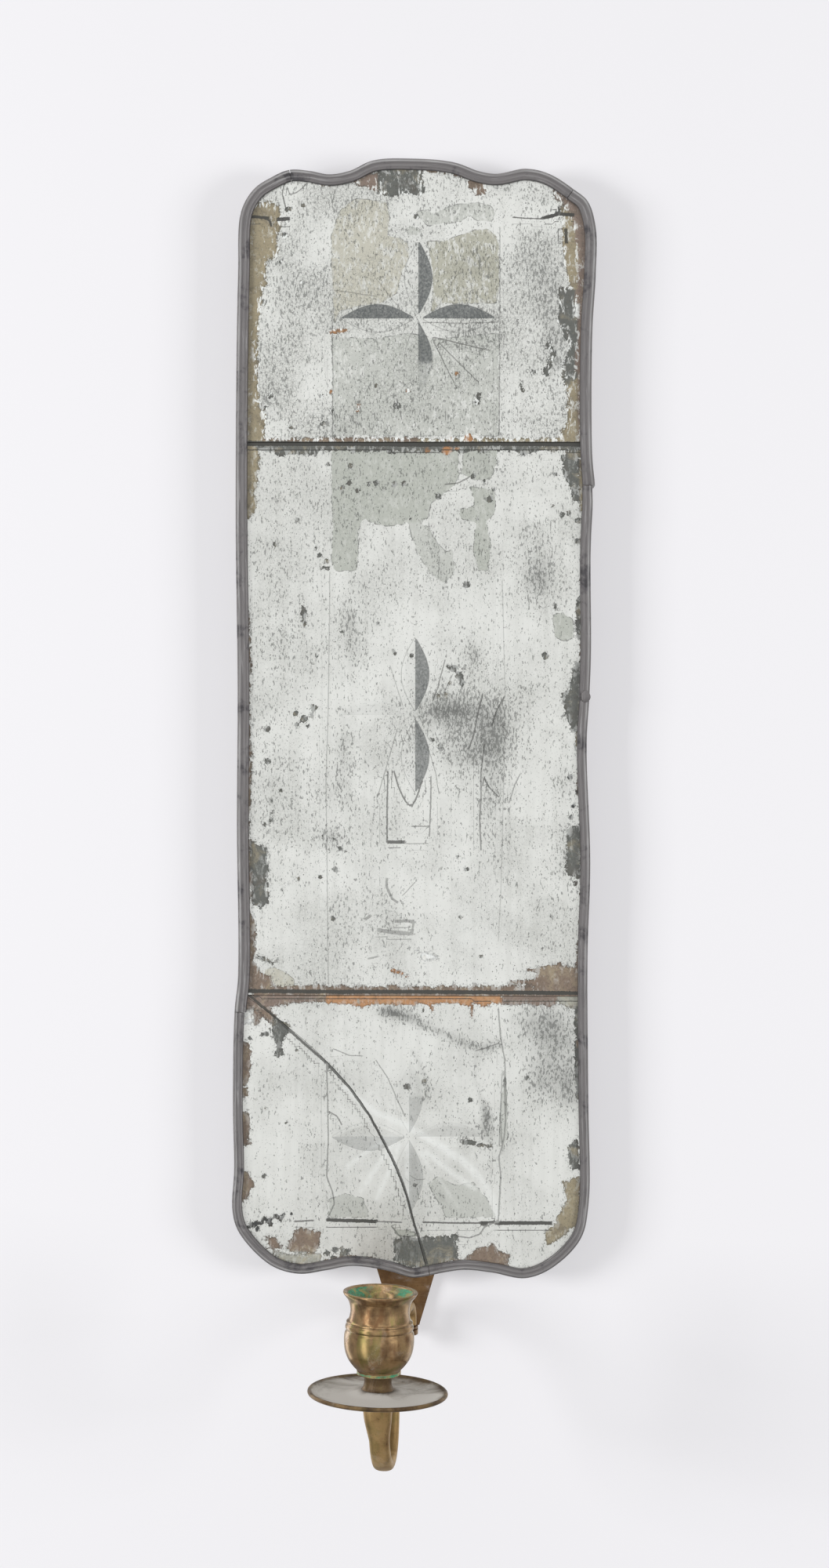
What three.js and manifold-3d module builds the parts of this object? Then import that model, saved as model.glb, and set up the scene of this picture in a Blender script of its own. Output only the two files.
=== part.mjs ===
// Mirror sconce: three cut-glass mirror panes held by a lead came on a pine back, and a brass candle
// arm whose pin drops into a bracket below the frame, where it swings and lifts out.
// Millimetres, +Z up. The back face lies on the wall plane y = 0 and the mirror faces -Y.
// The origin is on the back face, at the middle of the frame's width and height.
import * as THREE from "three";
import { mergeVertices } from "three/addons/utils/BufferGeometryUtils.js";
import Module from "manifold-3d";

// Overall frame, and the clearance kept between pieces that touch
const frameWidth = 189;
const frameHeight = 580.5;
const fitGap = 0.3;
const cutOverrun = 5;

// Pine back: two shaped rails halved over two stiles, with a panel let in from behind
const boardThickness = 11;
const lapThickness = 5.5;
const railHeight = 30;
const stileWidth = 49.5;
const rebateWidth = 6;

// Pegs through the halved corners and brads through the panel's edge
const pegRadius = 3;
const pegLength = 9.5;
const innerPegInset = 9;
const outerPegInset = 23;
const innerPegRise = 12;
const outerPegRise = 4.5;
const bradRadius = 0.8;
const bradHeadRadius = 1.9;
const bradHeadThickness = 0.8;
const bradLength = 8.5;
const bradEndInset = 80;
const bradRows = 3;

// Mirror panes: two joints across the frame and one crack through the lowest pane
const glassThickness = 3;
const paneJointHeight = 143;
const lowerJointFall = 1.6;

// Cut stars in the glass: four lens-shaped petals, each a shallow V groove
const petalLength = 39;
const petalWidth = 14.5;
const petalDepth = 0.7;
const petalHubGap = 1.6;

// Lead came: an L-shaped strip bent round the edge in six lengths
const cameThickness = 1.4;
const cameRound = 2;
const cameLip = 0.8;
const cameSetback = 1.5;
const crestCameFace = 6;
const upperCameFace = 6.2;
const middleCameFace = 5.6;
const lowerCameFace = 5.2;

// Tacks through the came's side into the edge of the wood, their heads flush with the lead
const tackRadius = 0.7;
const tackHeadRadius = 1.6;
const tackHeadThickness = 0.5;
const tackLength = 7;
const tackInset = 3.5;

// Brass bracket: a tapered plate let into the back, with a tongue bent forward and bored as an eye
const bracketOffset = -4.2;
const bracketThickness = 2.5;
const bracketInset = 0.2;
const bracketTopWidth = 57;
const bracketShoulderWidth = 13.4;
const bracketGrip = 46;
const bracketDrop = 26.8;
const tongueWidth = 12;
const eyeReach = 9.3;
const upperNailSpread = 18;
const lowerNailSpread = 8.5;
const upperNailDrop = 7;
const lowerNailDrop = 33;
const nailRadius = 1.3;
const nailHeadRadius = 2.9;
const nailLength = 9;

// Iron hanger: a strap let in over a pocket that takes the head of the wall nail
const hangerWidth = 46;
const hangerHeight = 15;
const hangerThickness = 1.8;
const hangerDrop = 13.5;
const hangerHoleRadius = 4.4;
const hangerPocketRadius = 6;
const hangerPocketDepth = 7;
const hangerNailSpread = 16;

// Candle arm: a pin, a hook over the eye, a deep bowl and a head that carries the pan
const pinRadius = 3;
const pinTail = 5;
const washerRadius = 5.6;
const washerThickness = 1.2;
const armReach = 100;
const armDrop = 50.3;
const armEndDrop = 10.5;
const armSwing = 7.75;
const headLean = 1.6;
const armThickness = 6.4;
const hookWidth = 10.5;
const legWidth = 8;
const bowlWidth = 10;
const flareWidth = 13.4;
const headWidth = 15.2;
const headThickness = 11;
const seatThickness = 2.5;
const tenonRadius = 3;
const tenonLength = 15;

// Head of the arm: drip pan, neck and candle nozzle on the arm's tenon
const panRadius = 33.7;
const panThickness = 1.6;
const panDishDepth = 1.7;
const panRimFall = 0.25;
const panRimHeight = 2.1;
const neckRadius = 7;
const neckHeight = 6.9;
const nozzleRadius = 16.8;
const nozzleHeight = 39.5;
const boreRadius = 11.4;
const boreDepth = 28;
const boreRound = 1.5;

// Counts of steps and sides in the curved shapes
const spanSteps = 2;
const petalSteps = 10;
const roundSides = 10;
const pegSides = 12;
const turnedSides = 36;
const armSteps = 40;
const mergeDistance = 1e-4;

// Outer edge of the came, clockwise from the front, in shares of half the frame's width and height.
// Each run is one length of came, from its first point to the first point of the next run.
const crestRunShares = [
  [-0.686, 0.98],
  [-0.574, 0.978],
  [-0.467, 0.972],
  [-0.359, 0.978],
  [-0.226, 0.997],
  [0.006, 1],
  [0.222, 0.993],
  [0.359, 0.977],
  [0.454, 0.973],
  [0.609, 0.982],
  [0.738, 0.973],
];
const upperRightRunShares = [
  [0.875, 0.945],
  [0.953, 0.923],
  [0.996, 0.877],
  [0.996, 0.793],
  [0.978, 0.695],
  [0.974, 0.499],
];
const middleRightRunShares = [
  [0.983, 0.416],
  [0.968, 0.296],
  [0.97, 0.12],
];
const lowerRightRunShares = [
  [0.961, 0.039],
  [0.946, -0.048],
  [0.966, -0.258],
  [0.951, -0.426],
  [0.955, -0.678],
  [0.957, -0.867],
  [0.914, -0.929],
  [0.763, -0.98],
  [0.609, -1],
  [0.428, -0.99],
  [0.273, -0.985],
  [0.157, -0.99],
];
const lowerLeftRunShares = [
  [0.084, -0.995],
  [-0.015, -0.999],
  [-0.144, -0.987],
  [-0.338, -0.978],
  [-0.488, -0.986],
  [-0.639, -0.992],
  [-0.794, -0.976],
  [-0.961, -0.92],
  [-1, -0.881],
  [-0.991, -0.804],
  [-0.998, -0.692],
];
const upperLeftRunShares = [
  [-0.989, -0.524],
  [-0.97, -0.461],
  [-0.976, -0.188],
  [-0.972, 0.05],
  [-0.983, 0.373],
  [-0.97, 0.793],
  [-0.953, 0.905],
  [-0.884, 0.945],
  [-0.789, 0.966],
];

// Tacks of a long, a side and a short length of came, in shares of that length
const longTackShares = [0.17, 0.42, 0.83];
const sideTackShares = [0.4, 0.8];
const shortTackShares = [0.5];

// Middles of the cut stars, in shares of half the frame's width and of the pane's height from its foot
const upperStarShares = [0.021, 0.438];
const middleStarShares = [0.004, 0.506];
const lowerStarShares = [-0.03, 0.498];

// Crack through the lowest pane, from its top left corner down to the base, in shares of half the
// frame's width and of the pane's height from its top
const crackShares = [
  [-0.94, 0],
  [-0.699, 0.113],
  [-0.478, 0.239],
  [-0.301, 0.371],
  [-0.177, 0.513],
  [-0.054, 0.689],
  [0, 0.813],
  [0.08, 1],
];

// Centre line of the arm in shares of its reach and its drop, from the shoulder on the pin to the head
const armLineShares = [
  [0, 0],
  [0, 0.12],
  [0.04, 0.21],
  [0.12, 0.25],
  [0.22, 0.22],
  [0.33, 0.12],
  [0.44, -0.06],
  [0.52, -0.3],
  [0.57, -0.56],
  [0.63, -0.83],
  [0.71, -0.98],
  [0.81, -0.99],
  [0.9, -0.85],
  [0.96, -0.61],
  [0.995, -0.4],
];

// Turned outside of the nozzle, foot to lip, in shares of its radius and height
const nozzleProfileShares = [
  [0.61, 0],
  [0.62, 0.05],
  [0.71, 0.09],
  [0.86, 0.17],
  [0.955, 0.26],
  [1, 0.37],
  [0.99, 0.475],
  [0.945, 0.5],
  [0.97, 0.525],
  [0.97, 0.555],
  [0.935, 0.58],
  [0.955, 0.605],
  [0.945, 0.64],
  [0.87, 0.69],
  [0.84, 0.76],
  [0.86, 0.83],
  [0.93, 0.9],
  [1.065, 0.985],
  [1.055, 1],
  [0.98, 1],
  [0.84, 0.95],
];

// Top of the drip pan from its hole to its rim, in shares of its radius and of the dish's depth
const panTopShares = [
  [0.25, 0],
  [0.34, 0.4],
  [0.45, 0.85],
  [0.6, 1],
  [0.78, 0.95],
  [0.9, 0.65],
];

// Outside of the neck, foot to top, in shares of its radius and height
const neckProfileShares = [
  [1.14, 0],
  [1.02, 0.15],
  [0.94, 0.45],
  [0.95, 0.75],
  [1, 1],
];

// Corners of the arm's rounded section, in shares of half its width and half its thickness
const armSectionShares = [0.92, 0.55];

// Shares of the arm's length where its named widths hold, from the shoulder to the head
const armWidthShares = [0, 0.12, 0.35, 0.62, 0.86, 0.93, 1];

// Height where the socket's straight wall meets the flared lip, in shares of the nozzle's height
const boreMouthShare = 0.85;

const wasm = await Module();
wasm.setup();

const halfWidth = frameWidth / 2;
const halfHeight = frameHeight / 2;
const halfGap = fitGap / 2;
const boardFront = -boardThickness;
const glassBack = boardFront - fitGap;
const glassFront = glassBack - glassThickness;
const cameInside = glassFront - fitGap;
const cameFront = cameInside - cameThickness;
const panelHalf = halfWidth - stileWidth;
const railEdge = halfHeight - railHeight;
const flangeHalf = panelHalf + rebateWidth;
const flangeEdge = railEdge + rebateWidth;

/** A closed geometry as a solid that can be joined and cut. */
function solidOf(geometry) {
  const loose = geometry.index ? geometry.toNonIndexed() : geometry;
  const bare = new THREE.BufferGeometry();
  bare.setAttribute("position", loose.getAttribute("position"));
  const merged = mergeVertices(bare, mergeDistance);
  return new wasm.Manifold(
    new wasm.Mesh({
      numProp: 3,
      vertProperties: merged.attributes.position.array,
      triVerts: new Uint32Array(merged.index.array),
    }),
  );
}

/** The faces of a solid as a geometry for a mesh. */
function geometryOf(solid) {
  const mesh = solid.getMesh();
  const geometry = new THREE.BufferGeometry();
  geometry.setAttribute("position", new THREE.BufferAttribute(mesh.vertProperties, 3));
  geometry.setIndex(new THREE.BufferAttribute(mesh.triVerts, 1));
  geometry.computeVertexNormals();
  return geometry;
}

/** A box between two corners. */
function block(x0, x1, y0, y1, z0, z1) {
  const box = new THREE.BoxGeometry(x1 - x0, y1 - y0, z1 - z0);
  return solidOf(box.translate((x0 + x1) / 2, (y0 + y1) / 2, (z0 + z1) / 2));
}

/** A flat plate with the outline given as (x, z) points, between the depths back and front. */
function plate(outline, back, front) {
  const shape = new THREE.Shape(outline.map((p) => new THREE.Vector2(p.x, p.y)));
  const flat = new THREE.ExtrudeGeometry(shape, { depth: back - front, bevelEnabled: false });
  return solidOf(flat.rotateX(Math.PI / 2).translate(0, back, 0));
}

/** A turned piece from [radius, height] points that close on themselves or end on the axis. */
function turned(profile, sides = turnedSides) {
  const points = profile.map(([radius, height]) => new THREE.Vector2(radius, height));
  return solidOf(new THREE.LatheGeometry(points, sides).rotateX(Math.PI / 2));
}

/** A turned piece whose axis runs through (x, z) and whose heights count towards the front from y. */
function turnedForward(profile, x, y, z, sides = roundSides) {
  return turned(profile, sides).rotate([90, 0, 0]).translate([x, y, z]);
}

/** A closed tube through rings of equal count, each ring a copy of the flat section. */
function sweep(rings, section) {
  const count = section.length;
  const positions = rings.flat().flatMap((p) => [p.x, p.y, p.z]);
  const faces = [];
  for (let ring = 0; ring < rings.length - 1; ring++) {
    for (let i = 0; i < count; i++) {
      const a = ring * count + i;
      const b = ring * count + ((i + 1) % count);
      faces.push(a, b, a + count, b, b + count, a + count);
    }
  }
  const last = (rings.length - 1) * count;
  for (const [a, b, c] of THREE.ShapeUtils.triangulateShape(section, [])) {
    faces.push(a, c, b, last + a, last + b, last + c);
  }
  const geometry = new THREE.BufferGeometry();
  geometry.setAttribute("position", new THREE.Float32BufferAttribute(positions, 3));
  geometry.setIndex(faces);
  return solidOf(geometry);
}

/** A countersunk nail pointing to the front, its head flush at depth y. */
function nail(x, y, z) {
  const neck = nailHeadRadius - nailRadius;
  const profile = [
    [0, 0],
    [nailHeadRadius, 0],
    [nailRadius, neck],
    [nailRadius, nailLength - nailRadius],
    [0, nailLength],
  ];
  return turnedForward(profile, x, y, z);
}

/** The room a nail needs, with clearance all round. */
function nailHole(x, y, z) {
  const neck = nailHeadRadius - nailRadius;
  const wide = nailHeadRadius + fitGap;
  const narrow = nailRadius + fitGap;
  const profile = [
    [0, -cutOverrun],
    [wide, -cutOverrun],
    [wide, fitGap],
    [narrow, neck + fitGap],
    [narrow, nailLength + fitGap],
    [0, nailLength + fitGap],
  ];
  return turnedForward(profile, x, y, z);
}

const steel = new THREE.MeshStandardMaterial({ color: 0x4a4440, roughness: 0.7, metalness: 0.8 });
const pine = new THREE.MeshStandardMaterial({ color: 0xa07c55, roughness: 0.85, metalness: 0 });
const pegWood = new THREE.MeshStandardMaterial({ color: 0x8a6540, roughness: 0.85, metalness: 0 });
const mirror = new THREE.MeshStandardMaterial({ color: 0xd3dad5, roughness: 0.25, metalness: 0.7 });
const lead = new THREE.MeshStandardMaterial({ color: 0x77777a, roughness: 0.6, metalness: 0.7 });
const brass = new THREE.MeshStandardMaterial({ color: 0x8d7748, roughness: 0.45, metalness: 0.85 });

const sconce = new THREE.Group();

/** Adds one named piece to a group. */
function addPiece(name, solid, material, group = sconce) {
  const mesh = new THREE.Mesh(geometryOf(solid), material);
  mesh.name = name;
  group.add(mesh);
}

// Edge of the frame
const runShares = [
  crestRunShares,
  upperRightRunShares,
  middleRightRunShares,
  lowerRightRunShares,
  lowerLeftRunShares,
  upperLeftRunShares,
];
const edgeCurve = new THREE.CatmullRomCurve3(
  runShares.flat().map(([x, z]) => new THREE.Vector3(x * halfWidth, 0, z * halfHeight)),
  true,
);
const edgePoints = runShares.flat().length;

/** Place and outward direction on the edge, at a station counted from the first point. */
function edgeStation(station) {
  const t = (station / (edgePoints * spanSteps)) % 1;
  const along = edgeCurve.getTangent(t);
  return { at: edgeCurve.getPoint(t), along, out: new THREE.Vector3(-along.z, 0, along.x) };
}

/** The edge drawn in by a distance, as (x, z) points, counter-clockwise from the front. */
function edgeInside(distance) {
  const outline = [];
  for (let station = 0; station < edgePoints * spanSteps; station++) {
    const { at, out } = edgeStation(station);
    outline.push(new THREE.Vector2(at.x - out.x * distance, at.z - out.z * distance));
  }
  return outline.reverse();
}

const woodOutline = edgeInside(cameThickness + fitGap);
const cameRuns = [
  ["crest_came", crestCameFace, longTackShares],
  ["upper_right_came", upperCameFace, sideTackShares],
  ["middle_right_came", middleCameFace, shortTackShares],
  ["lower_right_came", lowerCameFace, longTackShares],
  ["lower_left_came", lowerCameFace, longTackShares],
  ["upper_left_came", upperCameFace, sideTackShares],
];

/** One length of came between two stations, with its ends cut back by half a clearance. */
function cameStrip(first, last, face) {
  const section = [
    [0, -cameSetback],
    [0, cameFront + cameRound],
    [cameRound / 4, cameFront + cameRound / 4],
    [cameRound, cameFront],
    [face - cameLip, cameFront],
    [face, cameFront + cameLip / 2],
    [face, cameInside],
    [cameThickness, cameInside],
    [cameThickness, -cameSetback],
  ].map(([inward, depth]) => new THREE.Vector2(inward, depth));
  const trims = new Map([
    [first, halfGap],
    [last, -halfGap],
  ]);
  const rings = [];
  for (let station = first; station <= last; station++) {
    const { at, along, out } = edgeStation(station);
    const base = at.clone().addScaledVector(along, trims.get(station) ?? 0);
    rings.push(
      section.map((p) => {
        const point = base.clone().addScaledVector(out, -p.x);
        return point.setY(p.y);
      }),
    );
  }
  return sweep(rings, section);
}

/** A tack driven inward at a station, grown by a clearance where it stands for its hole. */
function tack(station, extra) {
  const { at, out } = edgeStation(station);
  const start = extra ? -cutOverrun : 0;
  const profile = [
    [0, start],
    [tackHeadRadius + extra, start],
    [tackHeadRadius + extra, tackHeadThickness + extra],
    [tackRadius + extra, tackHeadThickness + extra],
    [tackRadius + extra, tackLength - tackRadius],
    [0, tackLength + extra],
  ];
  const turn = (Math.atan2(-out.x, out.z) * 180) / Math.PI;
  return turned(profile, roundSides)
    .rotate([180, 0, 0])
    .rotate([0, -turn, 0])
    .translate([at.x, boardFront + tackInset, at.z]);
}

const tacks = [];
const cames = [];
let firstStation = 0;
cameRuns.forEach(([name, face, tackShares], run) => {
  const stations = runShares[run].length * spanSteps;
  const lastStation = firstStation + stations;
  cames.push([name, cameStrip(firstStation, lastStation, face)]);
  for (const share of tackShares) {
    tacks.push(Math.round(firstStation + stations * share));
  }
  firstStation = lastStation;
});
const tackHoles = wasm.Manifold.union(tacks.map((station) => tack(station, fitGap)));

// Bracket plate, its nails and the recess that it is let into
const plateBack = -bracketInset;
const plateFront = plateBack - bracketThickness;
const plateTop = bracketGrip - halfHeight;
const tongueTop = -halfHeight - bracketDrop;
const pinDepth = plateFront - eyeReach;
const slope = (bracketTopWidth - bracketShoulderWidth) / 2 / (plateTop - tongueTop);

/** The plate's outline grown by a clearance, cut off at a height. */
function bracketOutline(extra, foot) {
  const topHalf = bracketTopWidth / 2 + extra;
  const footHalf = topHalf - slope * (plateTop + extra - foot);
  return [
    new THREE.Vector2(bracketOffset - footHalf, foot),
    new THREE.Vector2(bracketOffset + footHalf, foot),
    new THREE.Vector2(bracketOffset + topHalf, plateTop + extra),
    new THREE.Vector2(bracketOffset - topHalf, plateTop + extra),
  ];
}

const bracketNails = [
  [-upperNailSpread, -upperNailDrop],
  [upperNailSpread, -upperNailDrop],
  [-lowerNailSpread, -lowerNailDrop],
  [lowerNailSpread, -lowerNailDrop],
].map(([x, z]) => [bracketOffset + x, plateBack, plateTop + z]);
const bracketNailHoles = wasm.Manifold.union(bracketNails.map((at) => nailHole(...at)));
const bracketRecess = plate(
  bracketOutline(fitGap, tongueTop),
  cutOverrun,
  plateFront - fitGap,
).add(bracketNailHoles);

const tongueHalf = tongueWidth / 2;
const tongueBack = new THREE.BoxGeometry(tongueWidth, eyeReach + bracketThickness, bracketThickness);
tongueBack.translate(bracketOffset, (plateBack + pinDepth) / 2, tongueTop - bracketThickness / 2);
const tongueNose = turned(
  [
    [0, -bracketThickness],
    [tongueHalf, -bracketThickness],
    [tongueHalf, 0],
    [0, 0],
  ],
  turnedSides,
).translate([bracketOffset, pinDepth, tongueTop]);
const eyeHole = turned(
  [
    [0, -bracketThickness - cutOverrun],
    [pinRadius + fitGap, -bracketThickness - cutOverrun],
    [pinRadius + fitGap, cutOverrun],
    [0, cutOverrun],
  ],
  turnedSides / 2,
).translate([bracketOffset, pinDepth, tongueTop]);
const bracket = plate(bracketOutline(0, tongueTop), plateBack, plateFront)
  .add(solidOf(tongueBack))
  .add(tongueNose)
  .subtract(eyeHole)
  .subtract(bracketNailHoles);
for (const [name, strip] of cames) {
  addPiece(name, strip.subtract(tackHoles).subtract(bracketRecess), lead);
}
tacks.forEach((station, k) => addPiece(`came_tack_${k + 1}`, tack(station, 0), steel));
addPiece("arm_bracket", bracket, brass);
bracketNails.forEach((at, k) => addPiece(`bracket_nail_${k + 1}`, nail(...at), steel));

// Hanger strap, its nails, and the recess and pocket behind it
const hangerBack = -bracketInset;
const hangerFront = hangerBack - hangerThickness;
const hangerRise = halfHeight - hangerDrop;
const hangerNails = [-hangerNailSpread, hangerNailSpread].map((x) => [x, hangerBack, hangerRise]);
const hangerNailHoles = wasm.Manifold.union(hangerNails.map((at) => nailHole(...at)));

/** A round hole along Y through the hanger's middle, down to a depth. */
function hangerBore(radius, depth) {
  const profile = [
    [0, -cutOverrun],
    [radius, -cutOverrun],
    [radius, depth],
    [0, depth],
  ];
  return turnedForward(profile, 0, 0, hangerRise, turnedSides / 2);
}

/** The strap's block grown by a clearance, from one depth to another. */
function hangerBlock(extra, back, front) {
  const halfLength = hangerWidth / 2 + extra;
  const halfTall = hangerHeight / 2 + extra;
  return block(-halfLength, halfLength, front, back, hangerRise - halfTall, hangerRise + halfTall);
}

const hangerRecess = hangerBlock(fitGap, cutOverrun, hangerFront - fitGap)
  .add(hangerBore(hangerPocketRadius, hangerPocketDepth))
  .add(hangerNailHoles);
const hanger = hangerBlock(0, hangerBack, hangerFront)
  .subtract(hangerBore(hangerHoleRadius, hangerPocketDepth))
  .subtract(hangerNailHoles);
addPiece("hanger_strap", hanger, steel);
hangerNails.forEach((at, k) => addPiece(`hanger_nail_${k + 1}`, nail(...at), steel));

// Pegs and brads
const pegs = [];
for (const side of [-1, 1]) {
  for (const end of [-1, 1]) {
    pegs.push([side * (flangeHalf + innerPegInset), end * (railEdge + innerPegRise)]);
    pegs.push([side * (flangeHalf + outerPegInset), end * (railEdge + outerPegRise)]);
  }
}
const bradEdge = railEdge - bradEndInset;
const brads = [];
for (const side of [-1, 1]) {
  for (let row = 0; row < bradRows; row++) {
    const height = THREE.MathUtils.lerp(-bradEdge, bradEdge, row / (bradRows - 1));
    brads.push([side * (panelHalf + rebateWidth / 2), height]);
  }
}

/** A peg flush with the back, or its hole. */
function peg([x, z], extra) {
  const start = extra ? -cutOverrun : 0;
  const profile = [
    [0, start],
    [pegRadius + extra, start],
    [pegRadius + extra, pegLength + extra],
    [0, pegLength + extra],
  ];
  return turnedForward(profile, x, 0, z, pegSides);
}

/** A flat-headed brad flush with the back, or its hole. */
function brad([x, z], extra) {
  const start = extra ? -cutOverrun : 0;
  const profile = [
    [0, start],
    [bradHeadRadius + extra, start],
    [bradHeadRadius + extra, bradHeadThickness + extra],
    [bradRadius + extra, bradHeadThickness + extra],
    [bradRadius + extra, bradLength],
    [0, bradLength + extra],
  ];
  return turnedForward(profile, x, 0, z);
}

const woodCuts = wasm.Manifold.union([
  tackHoles,
  bracketRecess,
  hangerRecess,
  ...pegs.map((at) => peg(at, fitGap)),
  ...brads.map((at) => brad(at, fitGap)),
]);
pegs.forEach((at, k) => addPiece(`corner_peg_${k + 1}`, peg(at, 0), pegWood));
brads.forEach((at, k) => addPiece(`panel_brad_${k + 1}`, brad(at, 0), steel));

// Pine back
const woodBlank = plate(woodOutline, 0, boardFront);
const layerFront = -lapThickness - halfGap;
const layerBack = -lapThickness + halfGap;
const farX = frameWidth;
const farZ = frameHeight;

/** Cuts a piece of the back to the outline, with its holes and recesses. */
function shaped(rough) {
  return rough.intersect(woodBlank).subtract(woodCuts);
}

/** The rail at the top (end 1) or the bottom (end -1). */
function rail(end) {
  const lap = block(-farX, farX, boardFront, layerFront, railEdge + halfGap, farZ);
  const heart = block(
    halfGap - flangeHalf,
    flangeHalf - halfGap,
    boardFront,
    0,
    flangeEdge + halfGap,
    farZ,
  );
  const rough = lap.add(heart);
  return shaped(end > 0 ? rough : rough.mirror([0, 0, 1]));
}

/** The stile on the right (side 1) or the left (side -1). */
function stile(side) {
  const tall = railEdge - halfGap;
  const lip = block(panelHalf + halfGap, farX, boardFront, layerFront, -tall, tall);
  const heart = block(flangeHalf + halfGap, farX, boardFront, 0, -tall, tall);
  const laps = block(flangeHalf + halfGap, farX, layerBack, 0, -farZ, farZ);
  const rough = lip.add(heart).add(laps);
  return shaped(side > 0 ? rough : rough.mirror([1, 0, 0]));
}

const panelField = block(
  halfGap - panelHalf,
  panelHalf - halfGap,
  boardFront,
  0,
  halfGap - railEdge,
  railEdge - halfGap,
);
const panelFlange = block(
  halfGap - flangeHalf,
  flangeHalf - halfGap,
  layerBack,
  0,
  halfGap - flangeEdge,
  flangeEdge - halfGap,
);
addPiece("crest_rail", rail(1), pine);
addPiece("base_rail", rail(-1), pine);
addPiece("left_stile", stile(-1), pine);
addPiece("right_stile", stile(1), pine);
addPiece("back_panel", shaped(panelField.add(panelFlange)), pine);

// Mirror panes
const glassBlank = plate(woodOutline, glassBack, glassFront);

/** A V-shaped cutter for one petal that lies along -X from the middle of a star. */
function petalCutter() {
  const section = [
    new THREE.Vector2(-petalWidth / 2, 0),
    new THREE.Vector2(petalWidth / 2, 0),
    new THREE.Vector2(0, petalDepth),
  ];
  const rings = [];
  for (let step = 0; step <= petalSteps; step++) {
    const share = step / petalSteps;
    const swell = Math.max(Math.sin(Math.PI * share), fitGap / petalWidth);
    const x = -petalHubGap - petalLength * share;
    rings.push(
      section.map((p) => new THREE.Vector3(x, glassFront - halfGap + p.y * swell, p.x * swell)),
    );
  }
  return sweep(rings, section);
}

/** Four petals crossed about a point of the glass. */
function star([x, z]) {
  const quarters = [0, 1, 2, 3];
  const petals = quarters.map((turn) => petalCutter().rotate([0, turn * 90, 0]));
  return wasm.Manifold.union(petals).translate([x, 0, z]);
}

/** The middle of a star on the pane between two heights. */
function starPlace([across, rise], foot, top) {
  return [across * halfWidth, THREE.MathUtils.lerp(foot, top, rise)];
}

/** The glass between an upper and a lower edge, each given at the left and the right. */
function pane(topLeft, topRight, footLeft, footRight, place) {
  const band = [
    new THREE.Vector2(-farX, footLeft),
    new THREE.Vector2(farX, footRight),
    new THREE.Vector2(farX, topRight),
    new THREE.Vector2(-farX, topLeft),
  ];
  const whole = glassBlank.intersect(plate(band, glassBack + cutOverrun, glassFront - cutOverrun));
  return whole.subtract(star(place));
}

const upperJoint = paneJointHeight;
const lowerJointLeft = -paneJointHeight;
const lowerJointRight = -paneJointHeight - lowerJointFall;
const upperFoot = upperJoint + halfGap;
const middleTop = upperJoint - halfGap;
const middleFoot = [lowerJointLeft + halfGap, lowerJointRight + halfGap];
const lowerTop = [lowerJointLeft - halfGap, lowerJointRight - halfGap];
const upperStar = starPlace(upperStarShares, upperJoint, halfHeight);
const middleStar = starPlace(middleStarShares, lowerJointLeft, upperJoint);
const lowerStar = starPlace(lowerStarShares, -halfHeight, lowerJointLeft);
const upperPane = pane(farZ, farZ, upperFoot, upperFoot, upperStar);
const middlePane = pane(middleTop, middleTop, ...middleFoot, middleStar);
const lowerPane = pane(...lowerTop, -farZ, -farZ, lowerStar);

/** The region on one side of the crack, as a cutter through the glass. */
function crackSide(side) {
  const line = new THREE.CatmullRomCurve3(
    crackShares.map(
      ([across, fall]) =>
        new THREE.Vector3(
          across * halfWidth,
          0,
          THREE.MathUtils.lerp(lowerJointLeft, -halfHeight, fall),
        ),
    ),
  ).getPoints(crackShares.length * spanSteps);
  const edge = line.map((p) => new THREE.Vector2(p.x + side * halfGap, p.z));
  const start = edge[0];
  const end = edge[edge.length - 1];
  const region = [
    ...edge,
    new THREE.Vector2(end.x, -farZ),
    new THREE.Vector2(side * farX, -farZ),
    new THREE.Vector2(side * farX, lowerJointLeft + cutOverrun),
    new THREE.Vector2(start.x - cutOverrun, lowerJointLeft + cutOverrun),
  ];
  const outline = side > 0 ? region : region.slice(0, -1);
  return plate(outline, glassBack + cutOverrun, glassFront - cutOverrun);
}

addPiece("upper_pane", upperPane, mirror);
addPiece("middle_pane", middlePane, mirror);
addPiece("lower_pane_left_shard", lowerPane.intersect(crackSide(-1)), mirror);
addPiece("lower_pane_right_shard", lowerPane.intersect(crackSide(1)), mirror);

// Candle arm, swung about its pin
const armGroup = new THREE.Group();
armGroup.position.set(bracketOffset, pinDepth, tongueTop);
armGroup.rotation.z = THREE.MathUtils.degToRad(-armSwing);
sconce.add(armGroup);

const washer = [
  [pinRadius + fitGap, fitGap],
  [washerRadius, fitGap],
  [washerRadius, fitGap + washerThickness],
  [pinRadius + fitGap, fitGap + washerThickness],
  [pinRadius + fitGap, fitGap],
];
addPiece("pivot_washer", turned(washer, turnedSides / 2), brass, armGroup);

const shoulder = fitGap + washerThickness + fitGap;
const armLine = new THREE.CatmullRomCurve3([
  ...armLineShares.map(
    ([reach, rise]) => new THREE.Vector3(0, -reach * armReach, shoulder + rise * armDrop),
  ),
  new THREE.Vector3(0, -armReach, shoulder - armEndDrop - seatThickness / 2),
]);

const armWidths = [hookWidth, hookWidth, legWidth, bowlWidth, bowlWidth, flareWidth, headWidth];
const armThicknesses = [
  ...armWidths.slice(0, -2).fill(armThickness),
  (armThickness + headThickness) / 2,
  headThickness,
];

/** A size of the arm at a share of its length, blended between the named places. */
function armSize(sizes, share) {
  const next = Math.max(
    armWidthShares.findIndex((place) => place >= share),
    1,
  );
  const from = armWidthShares[next - 1];
  const to = armWidthShares[next];
  return THREE.MathUtils.lerp(sizes[next - 1], sizes[next], (share - from) / (to - from));
}

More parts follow.
